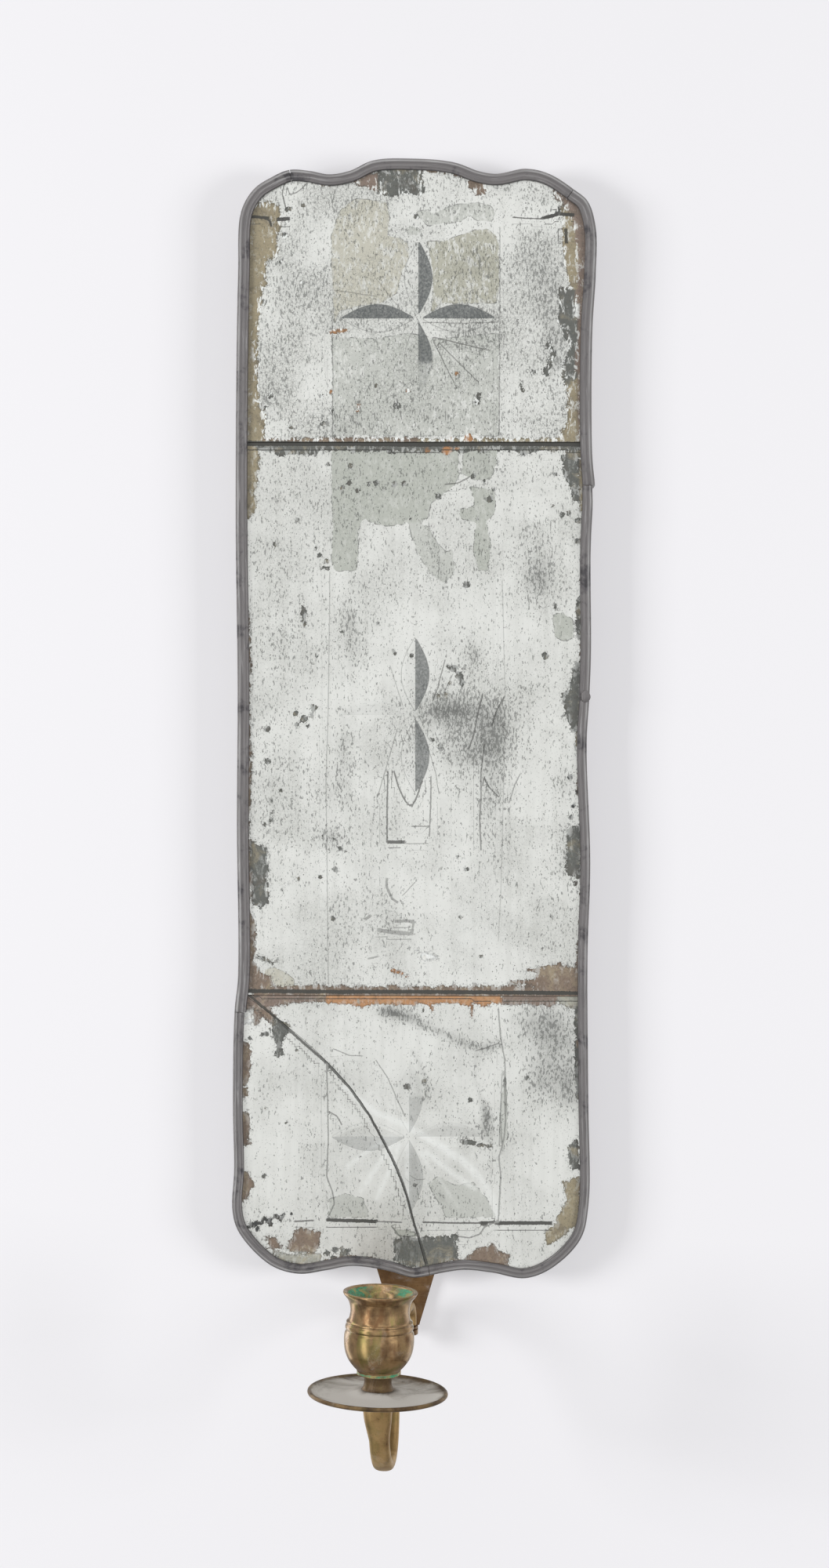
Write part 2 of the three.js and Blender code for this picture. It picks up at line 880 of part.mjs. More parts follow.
const [shoulderShare, cheekShare] = armSectionShares;
const armSection = [
  [1, 0],
  [shoulderShare, cheekShare],
  [cheekShare, 1],
  [-cheekShare, 1],
  [-shoulderShare, cheekShare],
  [-1, 0],
  [-shoulderShare, -cheekShare],
  [-cheekShare, -1],
  [cheekShare, -1],
  [shoulderShare, -cheekShare],
].map(([across, through]) => new THREE.Vector2(across, through));
const armRings = [];
for (let step = 0; step <= armSteps; step++) {
  const share = step / armSteps;
  const at = armLine.getPointAt(share);
  const along = armLine.getTangentAt(share);
  const through = new THREE.Vector3(0, along.z, -along.y);
  const halfAcross = armSize(armWidths, share) / 2;
  const halfThrough = armSize(armThicknesses, share) / 2;
  armRings.push(
    armSection.map((p) =>
      at
        .clone()
        .addScaledVector(through, p.y * halfThrough)
        .add(new THREE.Vector3(p.x * halfAcross, 0, 0)),
    ),
  );
}

const headGroup = new THREE.Group();
headGroup.position.set(0, -armReach, shoulder - armEndDrop);
headGroup.rotation.y = THREE.MathUtils.degToRad(headLean);
headGroup.updateMatrix();
armGroup.add(headGroup);

const seatAndTenon = turned(
  [
    [0, -seatThickness],
    [headWidth / 2, -seatThickness],
    [headWidth / 2, 0],
    [tenonRadius, 0],
    [tenonRadius, tenonLength],
    [0, tenonLength],
  ],
  turnedSides / 2,
).transform(headGroup.matrix.toArray());
const pin = turned(
  [
    [0, -bracketThickness - pinTail],
    [pinRadius - fitGap, -bracketThickness - pinTail],
    [pinRadius, -bracketThickness - pinTail + fitGap],
    [pinRadius, shoulder + armThickness / 2],
    [0, shoulder + armThickness / 2],
  ],
  turnedSides / 2,
);
const arm = sweep(armRings, armSection).add(seatAndTenon).add(pin);
addPiece("candle_arm", arm, brass, armGroup);

// Drip pan, neck and nozzle, heights counted from the arm's seat
const tenonHole = tenonRadius + fitGap;
const panTop = fitGap + panThickness;
const panDishTop = panTopShares.map(([radius, depth]) => [
  radius * panRadius,
  panTop - depth * panDishDepth,
]);
const panRimCrest = panTop - panRimFall;
const rimRound = panRimHeight / 3;
const pan = [
  [tenonHole, fitGap],
  ...panDishTop.map(([radius, height]) => [radius, height - panThickness]),
  [panRadius - rimRound, panRimCrest - panRimHeight],
  [panRadius, panRimCrest - panRimHeight / 2],
  [panRadius - rimRound / 2, panRimCrest - rimRound / 2],
  [panRadius - rimRound * 2, panRimCrest],
  ...panDishTop.reverse(),
  [tenonHole, panTop],
  [tenonHole, fitGap],
];
addPiece("drip_pan", turned(pan), brass, headGroup);

const neckFoot = panTop + fitGap;
const neckTop = neckFoot + neckHeight;
const neck = [
  [tenonHole, neckFoot],
  ...neckProfileShares.map(([radius, height]) => [
    radius * neckRadius,
    neckFoot + height * neckHeight,
  ]),
  [tenonHole, neckTop],
  [tenonHole, neckFoot],
];
addPiece("neck_collar", turned(neck, turnedSides / 2), brass, headGroup);

const nozzleFoot = neckTop + fitGap;
const boreFloor = nozzleFoot + nozzleHeight - boreDepth;
const nozzle = [
  [0, tenonLength + fitGap],
  [tenonHole, tenonLength + fitGap],
  [tenonHole, nozzleFoot],
  ...nozzleProfileShares.map(([radius, height]) => [
    radius * nozzleRadius,
    nozzleFoot + height * nozzleHeight,
  ]),
  [boreRadius, nozzleFoot + nozzleHeight * boreMouthShare],
  [boreRadius, boreFloor + boreRound],
  [boreRadius - boreRound, boreFloor],
  [0, boreFloor],
];
addPiece("candle_nozzle", turned(nozzle), brass, headGroup);

export default sconce;
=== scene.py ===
"""Looks of a lead-edged mirror sconce with a brass candle arm, built round its fixed frame."""

import logging
import math
from collections.abc import Callable, Iterable, Sequence
from dataclasses import dataclass
from enum import Enum

import bmesh
import bpy
import numpy as np
from bmesh.types import BMEdge, BMesh, BMFace, BMVert
from bpy.types import ID, Material, Mesh, Node, NodeSocket, NodeTree, Object
from mathutils import Matrix, Vector, noise


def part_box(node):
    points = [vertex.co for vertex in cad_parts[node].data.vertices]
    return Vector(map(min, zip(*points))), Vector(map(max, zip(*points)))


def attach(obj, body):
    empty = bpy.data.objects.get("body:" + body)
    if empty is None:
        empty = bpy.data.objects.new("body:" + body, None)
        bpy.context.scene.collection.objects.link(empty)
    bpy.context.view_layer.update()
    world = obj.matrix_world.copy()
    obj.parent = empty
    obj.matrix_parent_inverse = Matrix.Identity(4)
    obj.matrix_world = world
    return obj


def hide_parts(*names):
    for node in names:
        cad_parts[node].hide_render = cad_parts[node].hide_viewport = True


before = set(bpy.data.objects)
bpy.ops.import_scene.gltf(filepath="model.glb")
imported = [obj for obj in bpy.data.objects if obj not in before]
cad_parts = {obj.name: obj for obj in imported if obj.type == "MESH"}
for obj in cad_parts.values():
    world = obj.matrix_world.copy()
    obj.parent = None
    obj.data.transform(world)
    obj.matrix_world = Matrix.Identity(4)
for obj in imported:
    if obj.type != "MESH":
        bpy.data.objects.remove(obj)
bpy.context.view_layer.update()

log = logging.getLogger("sconce")
MM = 0.001

Place = tuple[float, float]
Point = tuple[float, float, float]
Colour = tuple[float, float, float, float]


def linear(*levels: float) -> Colour:
    """Turns a colour read as 0 to 255 on a screen into the linear colour that shaders use.

    Args:
        levels: Red, green and blue from 0 to 255.

    Returns:
        The linear red, green, blue and a full alpha.
    """
    shares = [level / 255 for level in levels]
    curve = [share / 12.92 if share <= 0.04045 else ((share + 0.055) / 1.055) ** 2.4 for share in shares]
    return (*curve, 1.0)


# Node trees


def sum_node(operation: str, swapped: bool = False) -> Callable[["Wire", "Value"], "Wire"]:
    """Makes a method that adds one Math node for a wire and another value.

    Args:
        operation: The node's operation.
        swapped: Whether the other value comes first.

    Returns:
        The method.
    """
    if swapped:
        return lambda wire, other: wire.desk.math(operation, other, wire)
    return lambda wire, other: wire.desk.math(operation, wire, other)


@dataclass(frozen=True)
class Wire:
    """The output of a node, with which sums are written as sums."""

    desk: "NodeDesk"
    socket: NodeSocket
    __add__ = sum_node("ADD")
    __radd__ = sum_node("ADD", swapped=True)
    __sub__ = sum_node("SUBTRACT")
    __rsub__ = sum_node("SUBTRACT", swapped=True)
    __mul__ = sum_node("MULTIPLY")
    __truediv__ = sum_node("DIVIDE")

    def __abs__(self) -> "Wire":
        """The value without its sign."""
        return self.desk.math("ABSOLUTE", self)


Value = Wire | float | Sequence[float]
Feeds = dict[int | str, Value]


@dataclass(frozen=True)
class NodeDesk:
    """Adds nodes to one tree and joins them, with plain values or wires alike."""

    tree: NodeTree

    def join(self, node: Node, feeds: Feeds) -> Node:
        """Feeds a node.

        Args:
            node: The node.
            feeds: A wire or a plain value for each input, by number or name.

        Returns:
            The same node.
        """
        for key, value in feeds.items():
            if isinstance(value, Wire):
                self.tree.links.new(value.socket, node.inputs[key])
            else:
                node.inputs[key].default_value = value
        return node

    def put(self, kind: str, feeds: Feeds, **settings: object) -> Node:
        """Adds a shader node.

        Args:
            kind: Its type, without ShaderNode.
            feeds: A wire or a plain value for each input, by number or name.
            settings: Its properties.

        Returns:
            The node.
        """
        node = self.tree.nodes.new(f"ShaderNode{kind}")
        for name, value in settings.items():
            setattr(node, name, value)
        return self.join(node, feeds)

    def outputs(self, node: Node) -> dict[str, Wire]:
        """A node's outputs by name."""
        return {socket.name: Wire(self, socket) for socket in node.outputs}

    def wire(self, kind: str, feeds: Feeds, output: int | str = 0, **settings: object) -> Wire:
        """Adds a shader node and gives one of its outputs."""
        return Wire(self, self.put(kind, feeds, **settings).outputs[output])

    def math(self, operation: str, a: Value, b: Value = 0.0, clamp: bool = False) -> Wire:
        """One Math node."""
        return self.wire("Math", {0: a, 1: b}, operation=operation, use_clamp=clamp)

    def choose(self, share: Value, a: Value, b: Value) -> Wire:
        """A value between a at share 0 and b at share 1."""
        return self.wire("Mix", {0: share, 2: a, 3: b}, data_type="FLOAT")

    def blend(self, share: Value, a: Value, b: Value) -> Wire:
        """A colour between a at share 0 and b at share 1."""
        return self.wire("Mix", {0: share, 6: a, 7: b}, 2, data_type="RGBA", clamp_factor=True)

    def layers(self, colour: Value, *coats: tuple[Value, Value]) -> Wire:
        """Lays tints over a colour.

        Args:
            colour: The lowest colour.
            coats: A mask and a tint for each layer, the lowest first.

        Returns:
            The colour on top.
        """
        for share, tint in coats:
            colour = self.blend(share, colour, tint)
        return colour

    def rise(self, value: Value, low: Value, high: Value) -> Wire:
        """A smooth step from 0 at low to 1 at high."""
        feeds = {"Value": value, "From Min": low, "From Max": high}
        return self.wire("MapRange", feeds, "Result", interpolation_type="SMOOTHSTEP", clamp=True)

    def place(self) -> Wire:
        """The piece's own coordinates, in metres."""
        return self.wire("TexCoord", {}, "Object")

    def cloud(self, where: Wire, scale: float, detail: float, rough: float, warp: float = 0.0) -> Wire:
        """Noise from about 0 to 1."""
        feeds = {"Vector": where, "Scale": scale, "Detail": detail, "Roughness": rough, "Distortion": warp}
        return self.wire("TexNoise", feeds, "Fac")

    def scaled(self, where: Wire, scale: Point, shift: Point = (0, 0, 0)) -> Wire:
        """Coordinates scaled along each axis and moved."""
        return self.wire("Mapping", {"Vector": where, "Scale": scale, "Location": shift}, "Vector")

    def drawn_cloud(self, where: Wire, scale: Point, *shape: float, shift: Point = (0, 0, 0)) -> Wire:
        """Noise drawn out along an axis: its scales, then its detail, roughness and warp."""
        return self.cloud(self.scaled(where, scale, shift), 1.0, *shape)

    def cells(self, where: Wire, scale: float, feature: str = "F1") -> dict[str, Wire]:
        """The distance and the random colour of each cell of a Voronoi pattern."""
        return self.outputs(self.put("TexVoronoi", {"Vector": where, "Scale": scale}, feature=feature))

    def group(self, tree: NodeTree, **values: Value) -> dict[str, Wire]:
        """Places a shared node group and gives its outputs by name."""
        return self.outputs(self.put("Group", values, node_tree=tree))

    def split(self, vector: Wire) -> tuple[Wire, ...]:
        """The three parts of a vector or colour."""
        return tuple(self.outputs(self.put("SeparateXYZ", {0: vector})).values())

    def read(self, name: str, output: str = "Vector") -> Wire:
        """A named attribute of the mesh."""
        return self.wire("Attribute", {}, output, attribute_name=name)

    def bump(self, height: Wire, depth: float, strength: float, **under: Wire) -> Wire:
        """A Bump node whose full height is a depth in metres, over another one given as Normal."""
        feeds = {"Distance": depth, "Strength": strength, "Height": height}
        return self.wire("Bump", feeds | under, "Normal")


def new_material(name: str) -> tuple[Material, NodeDesk]:
    """Starts a material that holds only a Principled shader and its output.

    Args:
        name: The material's name.

    Returns:
        The material and a desk on its tree.
    """
    material = bpy.data.materials.new(name)
    material.use_nodes = True
    return material, NodeDesk(material.node_tree)


def shaded(material: Material, feeds: dict[str, Value]) -> Material:
    """Feeds a material's Principled shader.

    Args:
        material: The material.
        feeds: A wire or a plain value for each of the shader's inputs.

    Returns:
        The same material.
    """
    NodeDesk(material.node_tree).join(material.node_tree.nodes["Principled BSDF"], feeds)
    return material


def new_group(name: str, number: str, *masks: str) -> tuple[NodeDesk, Wire, Wire, Node]:
    """Starts a shader node group that takes coordinates and one number.

    Args:
        name: The group's name.
        number: The number's name.
        masks: Names of what the group puts out.

    Returns:
        A desk on its tree, the coordinates, the number, and the node that its outputs feed.
    """
    tree = bpy.data.node_groups.new(name, "ShaderNodeTree")
    sockets = [("Vector", "INPUT", "Vector"), (number, "INPUT", "Float")]
    sockets += [(mask, "OUTPUT", "Float") for mask in masks]
    for socket, side, kind in sockets:
        tree.interface.new_socket(socket, in_out=side, socket_type=f"NodeSocket{kind}")
    desk = NodeDesk(tree)
    ins = desk.outputs(tree.nodes.new("NodeGroupInput"))
    return desk, ins["Vector"], ins[number], tree.nodes.new("NodeGroupOutput")


@dataclass(frozen=True)
class SharedEffects:
    """Node groups that several finishes use: scratches, grime and wood grain."""

    scratches: NodeTree
    grime: NodeTree
    grain: NodeTree

    @classmethod
    def build(cls) -> "SharedEffects":
        """Makes each group once."""
        return cls(cls.make_scratches(), cls.make_grime(), cls.make_grain())

    @staticmethod
    def make_scratches() -> NodeTree:
        """Fine broken lines along the first axis of the coordinates.

        Returns:
            The group.
        """
        desk, where, amount, end = new_group("scratches", "Amount", "Mask")
        fine = desk.drawn_cloud(where, (22, 1500, 1500), 4.0, 0.7)
        wide = desk.drawn_cloud(where, (60, 420, 420), 3.0, 0.6, 0.4, shift=(3, 1, 2))
        both = desk.rise(fine, 0.5, 0.72) * desk.rise(wide, 0.38, 0.62)
        desk.join(end, {"Mask": desk.math("MULTIPLY", both, amount, clamp=True)})
        return desk.tree

    @staticmethod
    def make_grime() -> NodeTree:
        """Blotches of two sizes with ragged edges.

        Returns:
            The group.
        """
        desk, where, amount, end = new_group("grime", "Amount", "Mask")
        mixed = desk.cloud(where, 45.0, 5.0, 0.62, 0.6) * 0.72 + desk.cloud(where, 310.0, 4.0, 0.65) * 0.28
        reach = 0.74 - amount * 0.4
        desk.join(end, {"Mask": desk.rise(mixed, reach, reach + 0.12)})
        return desk.tree

    @staticmethod
    def make_grain() -> NodeTree:
        """Growth lines and pores along the third axis of the coordinates.

        Returns:
            The group.
        """
        desk, where, rings, end = new_group("grain", "Rings", "Lines", "Pores")
        flow = desk.drawn_cloud(where, (16, 16, 1.6), 2.0, 0.5, 0.3)
        fine = desk.drawn_cloud(where, (260, 260, 5), 4.0, 0.6)
        wave = desk.math("SINE", (flow * rings + fine * 1.1) * math.tau)
        pores = desk.drawn_cloud(where, (1400, 1400, 40), 2.0, 0.5)
        desk.join(end, {"Lines": wave * 0.5 + 0.5, "Pores": desk.rise(pores, 0.62, 0.72)})
        return desk.tree


# Finishes


@dataclass(frozen=True)
class SilverFinish:
    """Old tin-silvered mirror glass, read from the wear that each pane carries as attributes."""

    silver: Colour = linear(227, 228, 224)
    silver_shade: Colour = linear(196, 197, 192)
    speck: Colour = linear(86, 88, 85)
    flake: Colour = linear(236, 238, 235)
    dust: Colour = linear(178, 166, 138)
    soil: Colour = linear(92, 84, 74)
    # Painted shade on one facet of each cut petal
    petal_shadow: Colour = linear(88, 92, 92)
    line_ink: Colour = linear(52, 52, 48)
    speck_sizes: tuple = ((1150.0, 0.36, 0.5, 0.5), (520.0, 0.27, 0.24, 0.85), (200.0, 0.14, 0.13, 0.95))

    def dress(self) -> Material:
        """Builds the material.

        Returns:
            The material.
        """
        material, desk = new_material("silvered_glass")
        where = desk.place()
        loss, haze, smudge = desk.split(desk.read("silver_wear"))
        side, past, reach = desk.split(desk.read("line_wear"))
        cut, facet, shade = desk.split(desk.read("petal_cut"))
        ink, density, crackle = desk.split(desk.read("speck_wear"))
        broad = desk.cloud(where, 28.0, 4.0, 0.6)
        ragged = desk.cloud(where, 210.0, 5.0, 0.68, 0.5)
        crumbs = desk.cloud(where, 900.0, 3.0, 0.6)
        drips = desk.drawn_cloud(where, (330, 330, 16), 4.0, 0.62)
        wool = desk.drawn_cloud(where, (520, 520, 230), 4.0, 0.66, 0.5, shift=(2, 0, 5))
        worn = desk.cloud(where, 95.0, 5.0, 0.66, 0.8)

        # Pale silver with soft upright streaks
        tone = desk.rise(drips, 0.36, 0.74) * 0.24 + desk.rise(broad, 0.34, 0.7) * 0.52
        colour = desk.blend(tone, self.silver, self.silver_shade)

        # Hazy patches, woolly where the silver is crackled, with a thin dark rim
        haze_edge = haze + (ragged - 0.5) * 3.2
        thin = crackle * 0.8 * desk.rise(wool, 0.5, 0.62)
        haze_in = desk.rise(haze_edge, -0.15, 0.35) * (1.0 - thin)
        rim = (1.0 - desk.rise(abs(haze_edge - 0.1), 0.08, 0.36)) * desk.rise(ragged, 0.42, 0.6)
        colour = desk.layers(colour, (haze_in, desk.read("haze_tint", "Color")), (rim * 0.75, self.speck))

        # Cloudy grey smudges and bright sweeps
        cloudy = desk.rise(smudge * (ragged + 0.5), 0.05, 1.3)
        shine = desk.rise(smudge, -0.05, -0.7) * desk.rise(ragged, 0.2, 0.6)
        colour = desk.layers(colour, (cloudy, self.speck), (shine * 0.75, self.flake))

        # Fine upright grains, crackle and specks
        grains = self.grains(desk, where, density * 0.6 + smudge * 0.8 + (broad - 0.5))
        web = desk.cells(where, 520.0, "DISTANCE_TO_EDGE")["Distance"]
        webbing = (1.0 - desk.rise(web, 0.02, 0.11)) * (crackle * desk.rise(broad, 0.4, 0.6))
        specks = self.specks(desk, where, density)
        for mask in (grains * 0.62, webbing * 0.3, specks):
            colour = desk.blend(mask, colour, self.speck)

        # Bare places where the silver has gone, with crumbs of it left near their edges
        loss_edge = loss + ((ragged - 0.5) * 7.5 + (crumbs - 0.5) * 1.8)
        bare = desk.rise(loss_edge, -0.1, 0.1)
        fringe = desk.rise(loss_edge, -1.8, 0.1) * desk.rise(crumbs, 0.5, 0.64)
        left = desk.rise(wool, 0.5, 0.56) - desk.rise(loss_edge, 0.4, 4.5)
        tint = desk.layers(
            desk.read("loss_tint", "Color"),
            (desk.rise(worn, 0.5, 0.72) * 0.5, self.dust),
            (desk.rise(worn, 0.5, 0.3) * 0.5, self.soil),
            (desk.rise(crumbs, 0.5, 0.7) * 0.4, self.line_ink),
            ((1.0 - desk.rise(loss_edge, 0.2, 1.1)) * 0.55, self.line_ink),
            (desk.math("MULTIPLY", left, crackle, clamp=True), self.flake),
        )
        colour = desk.layers(colour, (fringe * 0.55, self.speck), (bare, tint))

        # Cut petals: painted shade on one facet of each, and a painted dark line along their edges
        veil = 0.72 + desk.rise(crumbs, 0.25, 0.7) * 0.28
        shadow = desk.rise(cut, -0.05, 0.1) * desk.rise(facet, -0.12, 0.12) * (shade * veil)
        lip = (1.0 - desk.rise(abs(cut), 0.08, 0.3)) * (shade * 0.5)
        colour = desk.layers(colour, (shadow, self.petal_shadow), (lip, self.speck))

        # Drawn lines: cracks, rays and the ghosts of the boards behind
        off = abs(side + (ragged - 0.5) * 0.9)
        width = reach * (0.55 + crumbs * 0.9)
        drawn = (1.0 - desk.rise(off, width - 0.14, width)) * (1.0 - desk.rise(past, 0.1, 0.8)) * ink
        colour = desk.blend(drawn, colour, self.line_ink)

        wave = desk.bump(broad, 0.25 * MM, 0.35)
        feeds = {
            "Base Color": colour,
            "Metallic": (1.0 - desk.math("MAXIMUM", bare, drawn)) * 0.72,
            "Roughness": 0.3 + ragged * 0.16 + bare * 0.2,
            "Normal": desk.bump(1.0 - bare, 0.02 * MM, 0.5, Normal=wave),
            "Coat Weight": 0.35,
            "Coat Roughness": 0.05,
        }
        return shaded(material, feeds)

    def grains(self, desk: NodeDesk, where: Wire, crowd: Wire) -> Wire:
        """Short upright dark grains, thick or thin on the ground.

        Args:
            desk: The material's tree.
            where: The coordinates.
            crowd: How thickly the grains lie, about 0 to 1.

        Returns:
            A mask that is 1 in the grains.
        """
        fine = desk.drawn_cloud(where, (1500, 1500, 620), 2.0, 0.6)
        coarse = desk.drawn_cloud(where, (760, 760, 330), 3.0, 0.6, 0.4, shift=(4, 0, 1))
        low = 0.625 - crowd * 0.14
        return desk.rise(fine * 0.6 + coarse * 0.4, low, low + 0.035)

    def specks(self, desk: NodeDesk, where: Wire, density: Wire) -> Wire:
        """Scattered dark dots in three sizes.

        Args:
            desk: The material's tree.
            where: The coordinates.
            density: How thickly the dots lie, from 0 to 1.

        Returns:
            A mask that is 1 in the dots.
        """
        total = None
        for scale, radius, share, strength in self.speck_sizes:
            cells = desk.cells(where, scale)
            chance, grow, _ = desk.split(cells["Color"])
            kept = desk.rise(density * share - chance, -0.02, 0.02)
            size = (0.35 + grow * 0.65) * radius
            dot = (1.0 - desk.rise(cells["Distance"], size * 0.6, size)) * kept * strength
            total = desk.math("MAXIMUM", total, dot) if total else dot
        return total


@dataclass(frozen=True)
class LeadFinish:
    """Hand-drawn lead, dull grey with long scratches, with painted highlights on its ridges and outer
    corner and painted shade in its grooves and along its inner lip.
    """

    effects: SharedEffects
    face: Colour = linear(120, 117, 117)
    dark: Colour = linear(80, 78, 81)
    bright: Colour = linear(184, 183, 183)

    def dress(self) -> Material:
        """Builds the material.

        Returns:
            The material.
        """
        material, desk = new_material("drawn_lead")
        strip = desk.read("strip")
        where = desk.place()
        drawn = desk.group(self.effects.scratches, Vector=strip, Amount=1.0)["Mask"]
        dirt = desk.group(self.effects.grime, Vector=where, Amount=0.55)["Mask"]
        pale = desk.drawn_cloud(strip, (35, 700, 1), 4.0, 0.65, shift=(5, 2, 0))
        hollow = desk.split(desk.read("hollow"))[0]
        patchy = 0.15 + desk.rise(pale, 0.34, 0.62) * 0.45
        colour = desk.layers(
            self.face,
            (dirt, self.dark),
            (drawn * 0.75, self.dark),
            (desk.rise(pale, 0.56, 0.76) * 0.75, self.bright),
            # Painted highlight on the ridges and the rounded outer corner
            (desk.rise(hollow, -0.05, -0.8) * patchy, self.bright),
            # Painted shade in the grooves, along the inner lip and on the hidden faces
            (desk.rise(hollow, 0.1, 0.9) * 0.5, self.dark),
        )
        dents = desk.bump(desk.cloud(where, 150.0, 3.0, 0.5), 0.5 * MM, 0.7)
        feeds = {
            "Base Color": colour,
            "Metallic": 0.55,
            "Roughness": 0.42 + dirt * 0.22,
            "Normal": desk.bump(1.0 - drawn, 0.12 * MM, 0.9, Normal=dents),
        }
        return shaded(material, feeds)


class BrassKind(Enum):
    """Which brass: name, metal, dirt, and shares of grime, green, polish, bareness and relief."""

    CAST = ("cast_brass", (168, 138, 92), (128, 102, 66), 0.36, 0.3, 0.42, 0.78, 0.6)
    NOZZLE = ("nozzle_brass", (166, 137, 101), (110, 86, 62), 0.36, 0.66, 0.25, 0.92, 0.34)
    PAN = ("pan_brass", (104, 84, 60), (68, 54, 40), 0.5, 0.12, 0.42, 0.78, 0.6)
    PLATE = ("plate_brass", (116, 87, 58), (94, 70, 47), 0.42, 0.0, 0.42, 0.78, 0.6)


@dataclass(frozen=True)
class BrassFinish:
    """Aged brass with dirt in its hollows, worn gold on its crests and verdigris where wax lay."""

    effects: SharedEffects
    kind: BrassKind
    verdigris: Colour = linear(40, 118, 88)
    pale_verdigris: Colour = linear(64, 158, 120)
    wax: Colour = linear(210, 206, 200)
    olive: Colour = linear(122, 116, 66)
    russet: Colour = linear(112, 78, 50)
    gold: Colour = linear(166, 138, 96)
    scratch: Colour = linear(182, 158, 114)
    grit: Colour = linear(56, 44, 30)
    straw: Colour = linear(150, 142, 88)
    bog: Colour = linear(58, 52, 34)

    def dress(self) -> Material:
        """Builds the material.

        Returns:
            The material.
        """
        name, metal, dirt, grime, green, polish, bareness, relief = self.kind.value
        material, desk = new_material(name)
        where = desk.place()
        bloom, crest, film = desk.split(desk.read("patina"))
        soot = desk.group(self.effects.grime, Vector=where, Amount=grime)["Mask"]
        marks = desk.group(self.effects.scratches, Vector=where, Amount=0.8)["Mask"]
        tone = desk.cloud(where, 120.0, 5.0, 0.62, 0.3)
        grit = desk.cloud(where, 1300.0, 3.0, 0.6)
        wash = desk.cloud(desk.scaled(where, (1, 1, 0.22)), 115.0, 4.0, 0.6, 0.5)
        wisps = desk.cloud(where, 60.0, 7.0, 0.68, 0.9)
        fleck = desk.cloud(where, 190.0, 5.0, 0.7, 0.4)
        coat = desk.rise(film + wisps * 1.7, 0.9, 1.75)
        crust = desk.rise(bloom * 0.8 + tone * 0.8, 0.74, 1.05) * desk.rise(grit, 0.26, 0.5)
        rind = desk.layers(
            self.verdigris,
            (desk.rise(grit, 0.4, 0.62), self.pale_verdigris),
            (desk.rise(fleck, 0.5, 0.58), self.straw),
            (desk.rise(fleck, 0.43, 0.38), self.bog),
        )
        colour = desk.layers(
            linear(*dirt),
            (desk.rise(tone, 0.24, 0.62), linear(*metal)),
            (desk.rise(wash, 0.51, 0.6) * green, self.olive),
            (desk.rise(wash, 0.48, 0.36) * green, self.russet),
            (soot * 0.5, linear(*dirt)),
            (crest * desk.rise(tone, 0.4, 0.7), self.gold),
            (marks * 0.22, self.scratch),
            (desk.rise(grit, 0.62, 0.74) * 0.8, self.grit),
            (coat, self.wax),
            (crust, rind),
        )
        cover = desk.math("MAXIMUM", crust, coat)
        feeds = {
            "Base Color": colour,
            "Metallic": (1.0 - cover) * bareness,
            "Roughness": polish + soot * 0.18 + cover * 0.3,
            "Normal": desk.bump(tone * 0.22 + grit * 0.08 + crust, 0.1 * MM, relief),
        }
        return shaded(material, feeds)


class PineKind(Enum):
    """Which board a piece is, by its pale and dark wood and its ring count."""

    FRAME = ("frame_pine", (122, 92, 62), (82, 58, 38), 5.0)
    PANEL = ("panel_pine", (158, 124, 84), (112, 80, 50), 4.0)
    PEG = ("peg_pine", (104, 76, 50), (66, 46, 30), 9.0)


@dataclass(frozen=True)
class PineFinish:
    """Hand-planed pine, dark with age, with grain that runs upright or along a rail."""

    effects: SharedEffects
    kind: PineKind
    along_rail: bool = False
    pore: Colour = linear(48, 33, 22)
    dust: Colour = linear(58, 44, 32)
    knot: Colour = linear(54, 34, 20)

    def dress(self) -> Material:
        """Builds the material.

        Returns:
            The material.
        """
        name, pale, dark, rings = self.kind.value
        material, desk = new_material(name + ("_rail" if self.along_rail else ""))
        where = desk.place()
        if self.along_rail:
            x, y, z = desk.split(where)
            where = desk.wire("CombineXYZ", {0: z, 1: y, 2: x})
        wood = desk.group(self.effects.grain, Vector=where, Rings=rings)
        dirt = desk.group(self.effects.grime, Vector=where, Amount=0.5)["Mask"]
        knots = desk.cells(desk.scaled(where, (7, 7, 4.5), (0.3, 0.2, 0.6)), 1.0)["Distance"]
        colour = desk.layers(
            linear(*pale),
            (wood["Lines"] * 0.75, linear(*dark)),
            (wood["Pores"] * 0.5, self.pore),
            (dirt * 0.45, self.dust),
            ((1.0 - desk.rise(knots, 0.03, 0.07)) * 0.8, self.knot),
        )
        planing = desk.drawn_cloud(where, (150, 150, 3), 3.0, 0.5, shift=(1, 0, 0))
        planed = desk.bump(planing, 0.25 * MM, 0.6)
        feeds = {
            "Base Color": colour,
            "Roughness": 0.68 + dirt * 0.2,
            "Normal": desk.bump(wood["Lines"], 0.12 * MM, 0.6, Normal=planed),
        }
        return shaded(material, feeds)


@dataclass(frozen=True)
class IronFinish:
    """Forged iron, dark with rust in the hollows and hammered facets."""

    effects: SharedEffects
    iron: Colour = linear(70, 67, 65)
    rust: Colour = linear(98, 62, 42)
    scale: Colour = linear(34, 30, 28)

    def dress(self) -> Material:
        """Builds the material.

        Returns:
            The material.
        """
        material, desk = new_material("forged_iron")
        where = desk.place()
        rusted = desk.group(self.effects.grime, Vector=where, Amount=0.7)["Mask"]
        grit = desk.cloud(where, 1500.0, 4.0, 0.7)
        hammered = desk.bump(desk.cells(where, 260.0, "SMOOTH_F1")["Distance"], 0.5 * MM, 0.5)
        scale = desk.rise(grit, 0.5, 0.7) * 0.5
        feeds = {
            "Base Color": desk.layers(self.iron, (rusted, self.rust), (scale, self.scale)),
            "Metallic": (1.0 - rusted) * 0.8,
            "Roughness": 0.45 + rusted * 0.35,
            "Normal": desk.bump(grit, 0.08 * MM, 0.8, Normal=hammered),
        }
        return shaded(material, feeds)


# Mesh making


